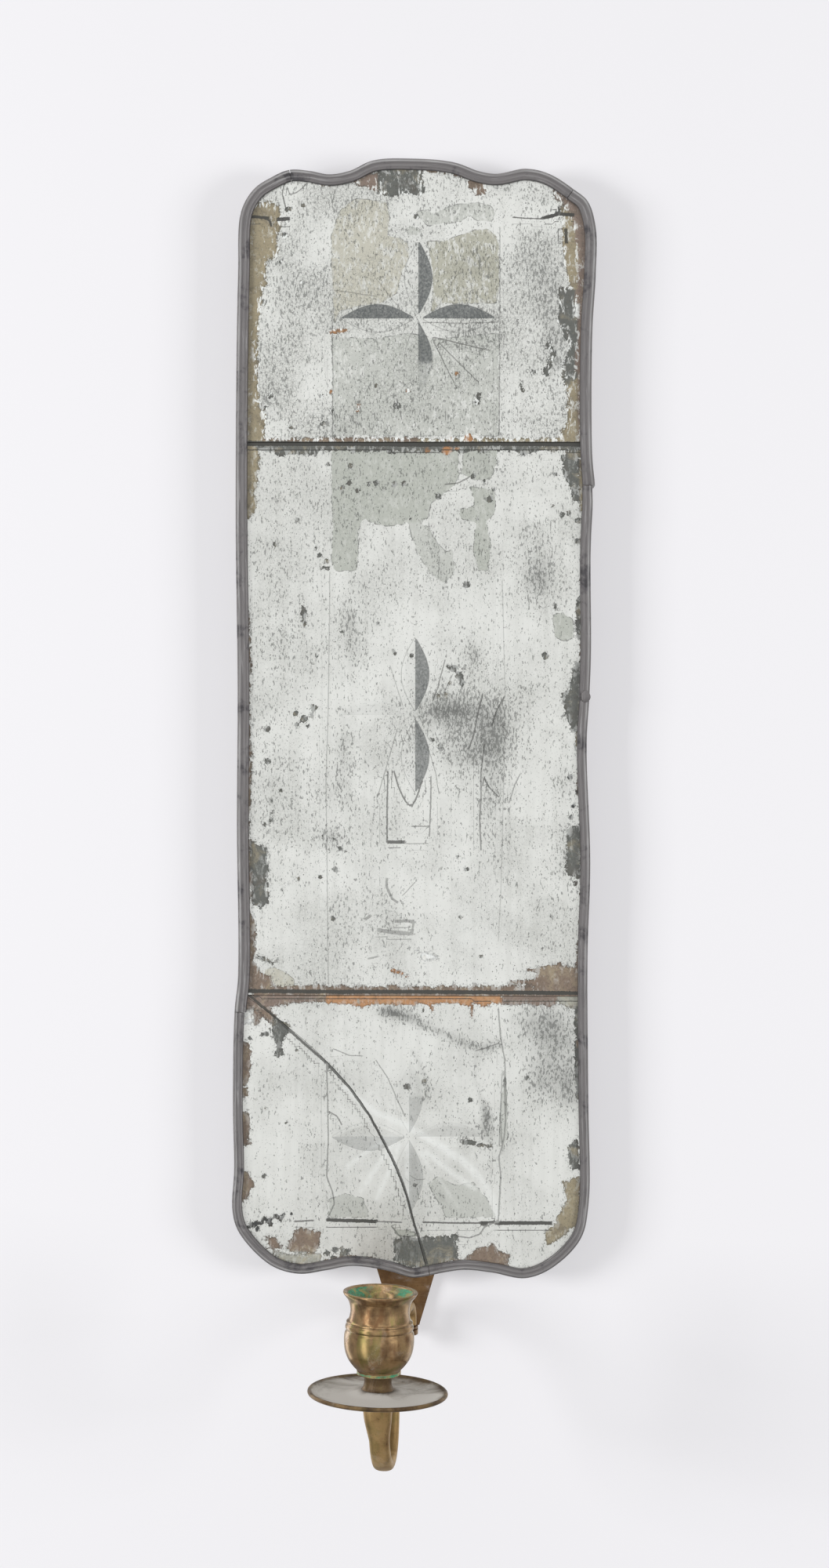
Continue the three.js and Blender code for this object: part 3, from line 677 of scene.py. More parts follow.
def finish_piece(name: str, bm: BMesh, material: Material, smooth: bool = True) -> Object:
    """Turns a bmesh into an object with one material.

    Args:
        name: The piece's name.
        bm: The mesh, which is freed.
        material: Its finish.
        smooth: Whether its faces shade smoothly.

    Returns:
        The new object.
    """
    mesh = bpy.data.meshes.new(name)
    for face in bm.faces:
        face.smooth = smooth
    bm.to_mesh(mesh)
    bm.free()
    mesh.materials.append(material)
    piece = bpy.data.objects.new(name, mesh)
    bpy.context.scene.collection.objects.link(piece)
    return piece


def seat(piece: Object, body: str, slot: str, *nodes: str) -> None:
    """Ties a new piece to its body and hides the nodes it stands for.

    Args:
        piece: The new piece.
        body: The body it moves with.
        slot: The record's material slot; not used.
        nodes: The nodes that it replaces.
    """
    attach(piece, body)
    if nodes:
        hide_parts(*nodes)
    log.info("%s on %s: %d faces", piece.name, body, len(piece.data.polygons))


def redress(node: str, finish: Material) -> None:
    """Gives a node that stays in view its finish.

    Args:
        node: The node's name.
        finish: Its material.
    """
    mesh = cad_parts[node].data
    mesh.materials.clear()
    mesh.materials.append(finish)
    log.info("%s dressed in %s", node, finish.name)


def sharpen(piece: Object, angle: float) -> None:
    """Keeps edges steeper than an angle crisp under smooth shading."""
    piece.data.set_sharp_from_angle(angle=math.radians(angle))


def solid_copy(node: str) -> BMesh:
    """A merged copy of a node's mesh, with its flat faces made whole.

    Args:
        node: The node's name.

    Returns:
        The copy.
    """
    bm = bmesh.new()
    bm.from_mesh(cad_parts[node].data)
    bmesh.ops.remove_doubles(bm, verts=bm.verts, dist=0.01 * MM)
    bmesh.ops.dissolve_limit(bm, angle_limit=math.radians(0.6), verts=bm.verts, edges=bm.edges)
    return bm


def spun(profile: Sequence[Place], sides: int, closed: bool = False) -> BMesh:
    """Turns a profile about the Z axis.

    Args:
        profile: Radius and height of each point, in metres.
        sides: How many steps the turn has.
        closed: Whether the profile joins its own start.

    Returns:
        The turned solid.
    """
    bm = bmesh.new()
    verts = [bm.verts.new((radius, 0, height)) for radius, height in profile]
    ends = verts[1:] + verts[:1] if closed else verts[1:]
    edges = [bm.edges.new(pair) for pair in zip(verts, ends)]
    bmesh.ops.spin(
        bm, geom=verts + edges, cent=(0, 0, 0), axis=(0, 0, 1), angle=math.tau, steps=sides, use_merge=True
    )
    bmesh.ops.remove_doubles(bm, verts=bm.verts, dist=0.002 * MM)
    bmesh.ops.recalc_face_normals(bm, faces=bm.faces)
    return bm


def driven(bm: BMesh, low: Vector, high: Vector) -> BMesh:
    """Lays a turned solid into the wood, with its foot at the back of a box.

    Args:
        bm: The solid, which stands on the origin.
        low: The box's lowest corner.
        high: The box's highest corner.

    Returns:
        The same solid.
    """
    bmesh.ops.rotate(bm, cent=(0, 0, 0), matrix=Matrix.Rotation(math.pi / 2, 3, "X"), verts=bm.verts)
    middle = (low + high) / 2
    bmesh.ops.translate(bm, vec=(middle.x, high.y, middle.z), verts=bm.verts)
    return bm


def trail(text: str) -> np.ndarray:
    """Reads rows of numbers.

    Args:
        text: Rows such as "12,30 14,35".

    Returns:
        One row for each group of numbers.
    """
    return np.array([[float(part) for part in row.split(",")] for row in text.split()])


def catmull(points: np.ndarray, stations: np.ndarray, closed: bool) -> np.ndarray:
    """Points on a centripetal Catmull-Rom curve.

    Args:
        points: The curve's own points, one a row.
        stations: Places along it, counted in points from the first.
        closed: Whether the last point joins the first.

    Returns:
        One point for each station.
    """
    index = np.floor(stations).astype(int)
    ring = points
    if not closed:
        ring = np.vstack([points, 2 * points[-1] - points[-2], 2 * points[0] - points[1]])
        index = np.minimum(index, len(points) - 2)
    share = (stations - index)[:, None]
    p0, p1, p2, p3 = (ring[(index + k) % len(ring)] for k in (-1, 0, 1, 2))
    d0, d1, d2 = (
        np.maximum(np.linalg.norm(b - a, axis=1), 1e-9)[:, None] ** 0.5
        for a, b in ((p0, p1), (p1, p2), (p2, p3))
    )
    start = ((p1 - p0) / d0 - (p2 - p0) / (d0 + d1) + (p2 - p1) / d1) * d1
    end = ((p2 - p1) / d1 - (p3 - p1) / (d1 + d2) + (p3 - p2) / d2) * d1
    square = (3 * (p2 - p1) - 2 * start - end) * share**2
    return p1 + start * share + square + (2 * (p1 - p2) + start + end) * share**3


def swept(section: Sequence[Vector], places: Sequence[Matrix], layer: str = "") -> BMesh:
    """Draws a closed section along a row of places.

    Args:
        section: The section's points, as each place sees them.
        places: A matrix for each ring.
        layer: The name of an attribute that gets each ring's number and each point's number.

    Returns:
        The closed solid.
    """
    bm = bmesh.new()
    mark = bm.verts.layers.float_vector.new(layer) if layer else None
    verts = [bm.verts.new(places[0] @ point) for point in section]
    edges = [bm.edges.new(pair) for pair in zip(verts, verts[1:] + verts[:1])]
    if mark:
        for number, vert in enumerate(verts):
            vert[mark] = (0, number, 0)
    bmesh.ops.edgeloop_fill(bm, edges=edges)
    for ring in range(1, len(places)):
        made = bmesh.ops.extrude_edge_only(bm, edges=edges)["geom"]
        verts = [item for item in made if isinstance(item, BMVert)]
        front = set(verts)
        drawn = (item for item in made if isinstance(item, BMEdge))
        edges = [edge for edge in drawn if front.issuperset(edge.verts)]
        bmesh.ops.transform(bm, matrix=places[ring] @ places[ring - 1].inverted(), verts=verts)
        if mark:
            for vert in verts:
                vert[mark] = (ring, vert[mark][1], 0)
    bmesh.ops.edgeloop_fill(bm, edges=edges)
    bmesh.ops.recalc_face_normals(bm, faces=bm.faces)
    return bm


def numbers(mesh: Mesh, name: str) -> np.ndarray:
    """A vector attribute of a mesh's points, such as their position, as rows.

    Args:
        mesh: The mesh.
        name: The attribute's name.

    Returns:
        One row for each point.
    """
    rows = np.zeros(len(mesh.vertices) * 3, np.float32)
    mesh.attributes[name].data.foreach_get("vector", rows)
    return rows.reshape(-1, 3).astype(float)


def keep(piece: Object, name: str, *columns: np.ndarray) -> None:
    """Stores three numbers, or a colour of four, for each of the piece's points.

    Args:
        piece: The piece.
        name: The attribute's name.
        columns: The numbers, in columns of one or more.
    """
    rows = np.column_stack(columns)
    kind, part = ("FLOAT_COLOR", "color") if rows.shape[1] == 4 else ("FLOAT_VECTOR", "vector")
    layer = piece.data.attributes.new(name, kind, "POINT")
    layer.data.foreach_set(part, rows.astype(np.float32).ravel())


def even_patina(piece: Object, bloom: float, crest: float) -> None:
    """Gives all of a brass piece the same green bloom and worn crest, and no film."""
    keep(piece, "patina", np.tile((bloom, crest, 0.0), (len(piece.data.vertices), 1)))


def run_along(line: np.ndarray) -> np.ndarray:
    """The length of a line up to each of its points."""
    return np.concatenate([[0], np.cumsum(np.linalg.norm(np.diff(line, axis=0), axis=1))])


def bell(values: np.ndarray | float, middle: np.ndarray | float, spread: np.ndarray | float) -> np.ndarray:
    """A soft peak of 1 about a middle."""
    return np.exp(-(((values - middle) / spread) ** 2))


def reach_of(points: np.ndarray, line: np.ndarray) -> tuple[np.ndarray, np.ndarray, np.ndarray]:
    """Measures points against a line of straight stretches.

    Args:
        points: The points, one a row.
        line: The corners of the line.

    Returns:
        The distance to the line, the signed distance to its nearest stretch taken as endless, and how far
        past the stretch's ends the point lies.
    """
    best = np.full(len(points), np.inf)
    side = np.zeros(len(points))
    for start, end in zip(line[:-1], line[1:]):
        along = end - start
        length = np.hypot(*along)
        if length == 0:
            continue
        way = along / length
        offset = points - start
        run = offset @ way
        across = offset[:, 0] * way[1] - offset[:, 1] * way[0]
        distance = np.hypot(across, np.maximum(np.maximum(-run, run - length), 0))
        side = np.where(distance < best, across, side)
        best = np.minimum(distance, best)
    return best, side, np.sqrt(np.maximum(best**2 - side**2, 0))


def closed_ring(line: np.ndarray) -> np.ndarray:
    """The line with its first corner again at its end."""
    return np.vstack([line, line[:1]])


# Outer edge of the came, clockwise from the front, in shares of half the frame's width and height

EDGE_RUNS = (
    "-0.686,0.98 -0.574,0.978 -0.467,0.972 -0.359,0.978 -0.226,0.997 0.006,1 0.222,0.993 0.359,0.977 "
    "0.454,0.973 0.609,0.982 0.738,0.973",
    "0.875,0.945 0.953,0.923 0.996,0.877 0.996,0.793 0.978,0.695 0.974,0.499",
    "0.983,0.416 0.968,0.296 0.97,0.12",
    "0.961,0.039 0.946,-0.048 0.966,-0.258 0.951,-0.426 0.955,-0.678 0.957,-0.867 0.914,-0.929 "
    "0.763,-0.98 0.609,-1 0.428,-0.99 0.273,-0.985 0.157,-0.99",
    "0.084,-0.995 -0.015,-0.999 -0.144,-0.987 -0.338,-0.978 -0.488,-0.986 -0.639,-0.992 -0.794,-0.976 "
    "-0.961,-0.92 -1,-0.881 -0.991,-0.804 -0.998,-0.692",
    "-0.989,-0.524 -0.97,-0.461 -0.976,-0.188 -0.972,0.05 -0.983,0.373 -0.97,0.793 -0.953,0.905 "
    "-0.884,0.945 -0.789,0.966",
)


@dataclass(frozen=True)
class FrameEdge:
    """The edge that the six lengths of came follow."""

    half_width: float = 94.5 * MM
    half_height: float = 290.25 * MM
    steps: int = 8

    def line(self, stations: np.ndarray) -> np.ndarray:
        """Places (x, z) on the edge at stations counted in points."""
        points = np.vstack([trail(run) for run in EDGE_RUNS]) * (self.half_width, self.half_height)
        return catmull(points, np.mod(stations, len(points)), closed=True)

    def inset(self, points: np.ndarray) -> np.ndarray:
        """How far each (x, z) point lies inside the edge."""
        count = sum(len(trail(run)) for run in EDGE_RUNS)
        return reach_of(points, closed_ring(self.line(np.arange(0, count, 1 / self.steps))))[0]


# Wear of the mirror, in pixels of the photograph's frame at the glass


class Tint(Enum):
    """Colours of the worn places."""

    SLATE = linear(94, 96, 92)
    INK = linear(50, 52, 52)
    OLIVE = linear(148, 138, 114)
    UMBER = linear(124, 108, 94)
    MAUVE = linear(130, 114, 103)
    TAN = linear(182, 136, 96)
    RUST = linear(172, 124, 82)
    STONE = linear(160, 160, 150)
    MOSS = linear(196, 194, 181)
    LICHEN = linear(182, 181, 167)
    MIST = linear(184, 187, 179)
    ASH = linear(196, 198, 192)
    FLAKE = linear(236, 238, 236)


@dataclass(frozen=True)
class Blot:
    """A patch with an outline."""

    tint: Tint
    outline: str

    def depth(self, points: np.ndarray) -> np.ndarray:
        """How far each point lies inside the patch, negative outside.

        Args:
            points: The points, one a row.

        Returns:
            One depth for each point.
        """
        ring = closed_ring(trail(self.outline))
        inside = np.zeros(len(points), bool)
        for (x1, y1), (x2, y2) in zip(ring, ring[1:]):
            spans = (points[:, 1] > y1) != (points[:, 1] > y2)
            if spans.any():
                inside ^= spans & (points[:, 0] < x1 + (points[:, 1] - y1) * (x2 - x1) / (y2 - y1))
        reach = reach_of(points, ring)[0]
        return np.where(inside, reach, -reach)


@dataclass(frozen=True)
class Stroke:
    """A worn band along a path."""

    tint: Tint
    width: float
    path: str

    def depth(self, points: np.ndarray) -> np.ndarray:
        """How far each point lies inside the band, negative outside."""
        return self.width / 2 - reach_of(points, trail(self.path))[0]


@dataclass(frozen=True)
class Spots:
    """Round worn spots, each with a middle and a radius."""

    tint: Tint
    spots: str

    def depth(self, points: np.ndarray) -> np.ndarray:
        """Twice how far each point lies inside its nearest spot, for crisp edges, negative outside."""
        u, v, radii = trail(self.spots).T[:, :, None]
        return np.max(radii - np.hypot(points[:, 0] - u, points[:, 1] - v), axis=0) * 2


@dataclass(frozen=True)
class Line:
    """A thin dark line, such as a crack, a cut ray or the ghost of a board's edge."""

    width: float
    ink: float
    path: str


@dataclass(frozen=True)
class Clouds:
    """Soft grey clouds, each with a middle, a spread and a strength, below 0 for a bright one."""

    clouds: str

    def weight(self, points: np.ndarray) -> np.ndarray:
        """The clouds' strength at each point."""
        parts = ((row[4], bell(points, row[:2], row[2:4])) for row in trail(self.clouds))
        return sum((strength * part.prod(axis=1) for strength, part in parts), np.zeros(len(points)))


@dataclass(frozen=True)
class Drift:
    """A soft grey band along a path, or a bright one where its strength is negative."""

    strength: float
    width: float
    path: str

    def weight(self, points: np.ndarray) -> np.ndarray:
        """The band's strength at each point."""
        reach, _, past = reach_of(points, trail(self.path))
        return self.strength * np.exp(-((reach**2 + past**2) / (self.width / 2) ** 2))


@dataclass(frozen=True)
class CutStar:
    """Four petals about a middle: how much painted shade lies on one facet of each, on its other facet
    where below 0, and where that fades.
    """

    middle: Place
    shades: tuple[float, float, float, float]
    fades: tuple[float, float, float, float] = (2, 2, 2, 2)


@dataclass(frozen=True)
class PaneWear:
    """All that has happened to one pane."""

    losses: tuple
    hazes: tuple
    lines: tuple[Line, ...]
    clouds: tuple
    specks: float
    crackle: float


UPPER_LOSSES = (
    Blot(
        Tint.OLIVE,
        "300,262 322,262 344,257 356,262 361,276 358,290 354,300 354,327 341,333 340,360 334,380 330,420 "
        "329,470 331,517 339,530 338,560 336,580 300,580",
    ),
    Blot(
        Tint.MAUVE,
        "704,232 760,232 760,580 735,580 733,540 731,470 733,430 733,330 729,290 720,262 706,250",
    ),
    Blot(Tint.OLIVE, "716,262 730,270 740,300 741,372 731,374 722,350 718,312"),
    Blot(Tint.SLATE, "713,366 736,366 742,430 738,452 741,484 724,500 716,470 726,440 712,412"),
    Blot(Tint.OLIVE, "722,484 742,476 742,570 712,570 716,548 724,540"),
    Blot(Tint.SLATE, "482,200 541,200 541,244 534,250 515,247 500,251 482,248"),
    Blot(Tint.MAUVE, "455,224 484,218 484,244 468,240 455,238"),
    Blot(Tint.UMBER, "598,222 620,226 622,244 616,252 608,248 598,240"),
    Stroke(Tint.UMBER, 15, "300,566 400,566 470,565 530,566"),
    Stroke(Tint.OLIVE, 13, "530,566 640,566 760,566"),
    Spots(Tint.RUST, "598,560,7 575,562,4.5 423,499,3.4 583,476,2.8 520,498,2.4"),
    Stroke(Tint.RUST, 5.5, "424,424 442,421"),
    Stroke(Tint.RUST, 3.2, "458,514 456,527"),
    Stroke(Tint.SLATE, 6.5, "701,440 706,452 699,468 697,476"),
    Spots(
        Tint.SLATE,
        "345,504,4 339,520,2.6 363,300,4 368,267,3.6 387,262,2.6 507,517,5 681,474,3.6 658,362,2.4 "
        "480,492,2.4 337,385,3.6 358,334,2.2 385,360,2.2 411,504,2.6 424,524,2.6 372,545,3 412,540,2.8 "
        "531,276,3.4",
    ),
    Stroke(Tint.SLATE, 5, "612,504 609,514"),
    Stroke(Tint.SLATE, 4, "666,488 667,498"),
)
UPPER_HAZES = (
    Blot(
        Tint.MOSS,
        "427,287 433,270 443,260 457,253 473,255 493,257 497,277 495,300 510,303 520,310 523,327 513,347 "
        "507,373 487,387 460,390 433,397 427,413 425,387 423,333 423,300",
    ),
    Blot(
        Tint.ASH,
        "530,270 547,267 553,272 563,267 587,260 610,258 627,263 633,273 627,283 610,282 600,275 587,283 "
        "567,285 547,288 537,280",
    ),
    Blot(
        Tint.LICHEN,
        "545,308 567,307 587,300 607,293 623,292 633,300 637,313 637,367 633,387 600,387 563,387 550,400 "
        "553,360 550,333",
    ),
    Spots(Tint.ASH, "525,294,6 531,295,5"),
    Blot(Tint.ASH, "424,430 480,432 520,425 560,432 637,425 637,556 424,556"),
)
UPPER_LINES = (
    Line(4.2, 0.95, "320,276 332,277 343,278"),
    Line(5.0, 0.95, "354,280 369,279"),
    Line(3.0, 0.9, "338,279 344,281 346,288"),
    Line(2.0, 0.8, "655,277 667,278 690,279"),
    Line(4.8, 0.98, "693,278 706,275 713,273 732,274"),
    Line(2.8, 0.9, "713,264 715,273"),
    Line(4.2, 0.9, "722,292 723,310"),
    Line(1.7, 0.4, "424,400 425,480 424,556"),
    Line(1.7, 0.45, "638,290 638,430 637,556"),
    Line(2.0, 0.7, "363,235 360,247 365,266"),
    Line(1.7, 0.65, "365,236 370,248 378,246 386,240 391,234"),
    Line(1.9, 0.6, "553,430 625,447"),
    Line(1.9, 0.55, "560,437 610,487"),
    Line(1.9, 0.55, "552,433 583,495"),
    Line(1.6, 0.4, "427,370 480,378"),
    Line(1.4, 0.35, "556,396 592,335"),
    Line(1.4, 0.3, "512,396 468,340"),
    Line(1.8, 0.45, "540,411 590,412 634,411"),
    Line(6.0, 0.96, "300,565 430,566 530,566 640,566 760,566"),
)
UPPER_CLOUDS = (
    Clouds(
        "610,226,60,13,0.26 690,250,30,16,0.3 560,264,60,8,0.22 690,345,34,55,0.32 712,440,28,70,0.42 "
        "380,365,34,45,0.22 604,335,34,34,0.32 448,275,26,20,0.2 560,530,80,22,0.26 440,540,30,18,0.24 "
        "660,540,40,26,0.2 350,520,26,40,0.2 606,420,34,26,0.24 535,320,10,14,0.3 350,420,24,60,0.16"
    ),
)
UPPER_WEAR = PaneWear(UPPER_LOSSES, UPPER_HAZES, UPPER_LINES, UPPER_CLOUDS, specks=0.66, crackle=1.0)

MIDDLE_LOSSES = (
    Stroke(Tint.SLATE, 22, "300,565 345,566 440,564 530,567 640,564 760,565"),
    Blot(Tint.SLATE, "345,560 412,560 408,576 398,580 352,580"),
    Blot(Tint.SLATE, "655,560 680,560 677,577 667,582 657,577"),
    Spots(Tint.RUST, "570,572,8 583,571,4.5 545,574,4.5"),
    Blot(Tint.OLIVE, "300,560 330,560 331,600 326,625 327,648 318,662 300,664"),
    Stroke(Tint.UMBER, 7, "315,780 317,850 314,900 318,960 315,1075"),
    Blot(Tint.SLATE, "318,1072 330,1078 342,1082 343,1110 341,1125 343,1150 333,1159 322,1155 318,1110"),
    Blot(
        Tint.UMBER,
        "300,1070 320,1070 322,1120 318,1160 326,1180 326,1228 332,1240 346,1246 352,1258 300,1270",
    ),
    Stroke(Tint.SLATE, 5, "329,1222 342,1226 354,1226"),
    Stroke(Tint.UMBER, 18, "330,1266 440,1266 530,1267 600,1266 690,1267"),
    Blot(
        Tint.UMBER,
        "668,1237 693,1232 711,1229 729,1233 760,1236 760,1280 684,1280 680,1256 650,1255 652,1250 "
        "679,1249 687,1241",
    ),
    Blot(Tint.SLATE, "716,581 739,570 741,642 732,639 728,621 721,614"),
    Stroke(Tint.OLIVE, 9, "744,570 744,650"),
    Spots(Tint.SLATE, "718,656,4 726,654,3.6 738,664,4 736,690,3.4 674,672,2.2 709,604,2.6 706,645,2.2"),
    Stroke(Tint.SLATE, 9, "740,764 738,790 741,812"),
    Blot(Tint.SLATE, "716,884 726,880 732,846 746,840 746,938 728,932 722,920"),
    Blot(Tint.OLIVE, "735,935 746,935 746,975 737,965"),
    Spots(Tint.INK, "728,991,3.5 732,1028,3.2 729,1042,3.4 737,1010,2.5 734,1128,3.2"),
    Blot(Tint.SLATE, "723,1055 741,1050 746,1060 744,1120 734,1122 721,1112 724,1090"),
    Spots(
        Tint.SLATE,
        "595,746,5 625,636,4.6 604,607,3.4 618,613,2.4 630,625,2.6 609,661,2 559,633,4 379,664,3.4 "
        "352,694,3.8 482,795,2.4 404,836,2.6 436,806,3 427,818,2.2 696,836,4.4 526,836,3.2 504,833,2.6 "
        "709,774,3 651,721,2.6 448,594,4 403,579,2.4 418,592,2.8",
    ),
    Spots(
        Tint.SLATE,
        "580,853,5 586,862,5.4 589,871,4 592,853,3.2 573,850,2.4 574,871,2.6 569,887,3.4 559,888,2.8 "
        "388,917,5 377,910,3.4 379,924,3.2 392,926,2.6 341,931,4 341,971,4.2 563,954,4.6 552,944,3.4",
    ),
    Stroke(Tint.SLATE, 5.5, "388,774 387,798"),
    Stroke(Tint.SLATE, 5.5, "401,902 398,912"),
    Spots(
        Tint.SLATE,
        "408,708,3.4 417,716,3 411,724,2.8 418,725,3.4 404,700,2.2 398,722,2 437,622,4 446,616,3.4 "
        "456,626,3.6 470,618,3 480,616,3.4 488,624,2.6 503,617,3.6 515,617,4 515,660,2.4 524,662,2.4",
    ),
    Spots(
        Tint.SLATE,
        "584,1092,2.4 595,1109,3 428,1109,3.4 408,1119,3 381,1121,3 361,1134,2.6 425,1172,3.4 "
        "587,1170,2.4 704,1170,2.6 614,1220,2.4 692,1210,2.2 346,1046,3.4 338,1052,3 347,1036,3 "
        "342,1061,2.6 424,1070,3 434,1082,3.4 441,1086,2.6 413,1066,2.4 430,1060,2.2 359,1009,2.6 "
        "345,1020,2.6",
    ),
    Stroke(Tint.RUST, 3.6, "500,1236 512,1242 521,1246"),
    Blot(Tint.FLAKE, "530,1212 544,1214 560,1220 550,1226 538,1224"),
    Blot(Tint.FLAKE, "316,1200 321,1204 321,1262 315,1262"),
)
MIDDLE_HAZES = (
    Blot(
        Tint.MIST,
        "423,560 423,628 425,667 423,710 425,728 454,728 457,717 457,678 461,667 466,662 475,667 493,671 "
        "514,669 521,667 536,667 546,660 550,642 564,631 579,621 586,606 584,560",
    ),
    Blot(
        Tint.MIST,
        "600,621 632,624 632,653 621,667 627,696 623,728 611,728 604,703 607,667 586,660 586,649 607,646",
    ),
    Blot(Tint.MIST, "594,560 636,560 634,590 626,612 606,612 588,604"),
    Blot(Tint.ASH, "521,667 536,667 547,672 556,690 570,705 578,700 580,730 566,745 548,730 530,700"),
    Blot(Tint.MIST, "705,785 718,781 731,790 733,812 722,818 708,812"),
    Blot(Tint.MOSS, "336,1236 350,1234 364,1240 376,1250 374,1262 340,1262"),
)
MIDDLE_LINES = (
    Line(1.7, 0.35, "421,730 419,900 416,1000 418,1160 419,1256"),
    Line(1.6, 0.25, "641,740 645,900 640,1120 636,1200"),
    Line(2.2, 0.6, "568,618 585,616 600,608"),
    Line(1.9, 0.6, "568,842 560,872 553,893"),
    Line(1.6, 0.4, "556,905 578,860"),
    Line(1.7, 0.45, "507,930 496,968 482,1016"),
    Line(1.6, 0.4, "545,950 556,985 560,1012"),
    Line(1.5, 0.35, "514,900 498,850"),
    Line(2.4, 0.7, "495,984 494,1030 494,1074"),
    Line(4.6, 0.85, "494,1074 505,1074 516,1074"),
    Line(1.7, 0.45, "518,1076 546,1076"),
    Line(2.2, 0.6, "548,1066 550,1016 550,991"),
    Line(2.0, 0.55, "526,1054 546,1054"),
    Line(2.4, 0.7, "503,984 509,1005 518,1023 525,1029 531,1019 539,996"),
    Line(2.4, 0.65, "616,885 610,910 604,940 598,955"),
    Line(2.4, 0.7, "643,890 634,906 628,925"),
    Line(2.2, 0.6, "618,950 614,985 614,1019"),
    Line(2.4, 0.6, "614,1019 612,1044 614,1084"),
    Line(2.2, 0.65, "617,990 624,1004 636,1016"),
    Line(1.9, 0.5, "664,987 657,1001 650,1023"),
    Line(2.0, 0.5, "640,925 648,934 644,942"),
    Line(3.4, 0.5, "494,1121 493,1130 500,1146 507,1151"),
    Line(1.6, 0.45, "529,1126 514,1142"),
    Line(4.0, 0.5, "466,1173 473,1168"),
    Line(4.2, 0.5, "505,1175 528,1175"),
    Line(5.6, 0.45, "482,1186 500,1189 525,1191"),
    Line(3.2, 0.45, "528,1175 526,1190"),
    Line(2.6, 0.45, "470,1223 482,1220"),
    Line(6.0, 0.96, "300,566 430,566 530,567 640,566 760,567"),
    Line(5.4, 0.96, "300,1264 430,1265 530,1265 640,1266 760,1267"),
)
MIDDLE_CLOUDS = (
    Clouds(
        "585,912,40,34,0.46 632,930,26,36,0.48 628,1015,22,52,0.34 560,905,36,16,0.3 597,965,44,30,0.36 "
        "613,592,28,20,0.3 446,790,11,30,0.34 450,835,20,26,0.26 440,960,10,70,0.26 424,1010,26,60,0.2 "
        "424,1072,22,18,0.36 505,1165,40,26,0.2 687,736,26,30,0.5 690,690,24,34,0.2 606,836,12,14,0.4 "
        "345,990,22,60,0.2 330,1130,26,60,0.25 725,1090,22,60,0.25 720,1000,20,50,0.2 546,1244,6,6,0.3 "
        "362,820,14,90,0.16 580,1258,90,7,0.2 520,960,36,50,0.16 600,1190,60,50,-0.3 380,1200,40,40,-0.25"
    ),
    Drift(0.3, 10, "549,670 556,700 566,740 572,770"),
)
MIDDLE_WEAR = PaneWear(MIDDLE_LOSSES, MIDDLE_HAZES, MIDDLE_LINES, MIDDLE_CLOUDS, specks=0.55, crackle=0.4)

LOWER_LOSSES = (
    Blot(Tint.MAUVE, "300,1250 415,1250 415,1280 385,1279 360,1281 350,1286 300,1290"),
    Blot(Tint.TAN, "414,1250 640,1250 640,1281 600,1283 575,1279 540,1283 500,1281 460,1283 414,1279"),
    Blot(Tint.MAUVE, "640,1250 712,1250 712,1282 690,1284 640,1281"),
    Blot(Tint.STONE, "712,1250 760,1250 760,1286 735,1286 724,1284 712,1282"),
    Blot(Tint.UMBER, "322,1280 346,1284 352,1296 346,1305 334,1300 324,1310"),
    Stroke(Tint.RUST, 3, "551,1279 552,1290"),
    Stroke(Tint.RUST, 3.4, "601,1279 602,1296"),
    Spots(Tint.STONE, "457,1275,6"),
    Blot(Tint.FLAKE, "304,1286 320,1286 322,1304 314,1309 304,1304"),
    Blot(Tint.SLATE, "348,1299 362,1302 372,1306 368,1316 362,1324 360,1348 353,1350 351,1331 347,1320"),
    Blot(Tint.UMBER, "300,1326 318,1329 322,1345 320,1372 314,1384 300,1384"),
    Blot(Tint.UMBER, "300,1386 316,1388 318,1396 313,1400 300,1400"),
    Blot(Tint.UMBER, "300,1416 316,1417 320,1432 318,1460 300,1464"),
    Blot(Tint.UMBER, "300,1492 316,1496 324,1510 322,1520 312,1534 300,1540"),
    Blot(Tint.UMBER, "367,1584 374,1571 388,1566 409,1572 408,1590 404,1598 370,1597"),
    Blot(Tint.UMBER, "339,1577 350,1579 360,1588 356,1596 342,1590"),
    Blot(Tint.STONE, "350,1598 410,1598 412,1604 404,1614 356,1610"),
    Spots(Tint.SLATE, "418,1598,4 428,1594,4 438,1600,4 446,1594,3 424,1604,3 436,1592,3"),
    Blot(Tint.UMBER, "596,1606 608,1592 620,1589 628,1585 636,1594 649,1600 650,1620 596,1620"),
    Blot(Tint.OLIVE, "718,1508 740,1500 740,1560 710,1584 698,1587 695,1573 710,1558 722,1531"),
    Blot(Tint.SLATE, "503,1584 508,1577 584,1577 584,1604 570,1612 545,1618 510,1614 503,1606"),
    Stroke(Tint.INK, 5, "316,1566 330,1560 345,1557"),
    Spots(
        Tint.INK,
        "352,1552,3.6 358,1555,3.4 346,1562,3 362,1549,2.6 336,1554,2.6 371,1548,2.4 328,1568,2.6",
    ),
    Stroke(Tint.SLATE, 6, "586,1455 598,1458 606,1459"),
    Stroke(Tint.SLATE, 3.6, "606,1459 626,1463"),
    Spots(
        Tint.SLATE,
        "520,1386,4.4 600,1403,3.6 672,1374,3 541,1379,3.4 529,1512,3 460,1476,2 515,1306,2.6 "
        "540,1289,2.6 600,1311,2.2 560,1513,2 337,1500,3 339,1415,2.2 350,1385,2.4 366,1432,2.4 "
        "378,1340,2 341,1319,3 344,1313,2.4 334,1320,2.4 319,1324,3",
    ),
    Stroke(Tint.SLATE, 6, "738,1284 736,1330 738,1400"),
    Blot(Tint.SLATE, "726,1462 738,1450 740,1490 730,1492 724,1478"),
)
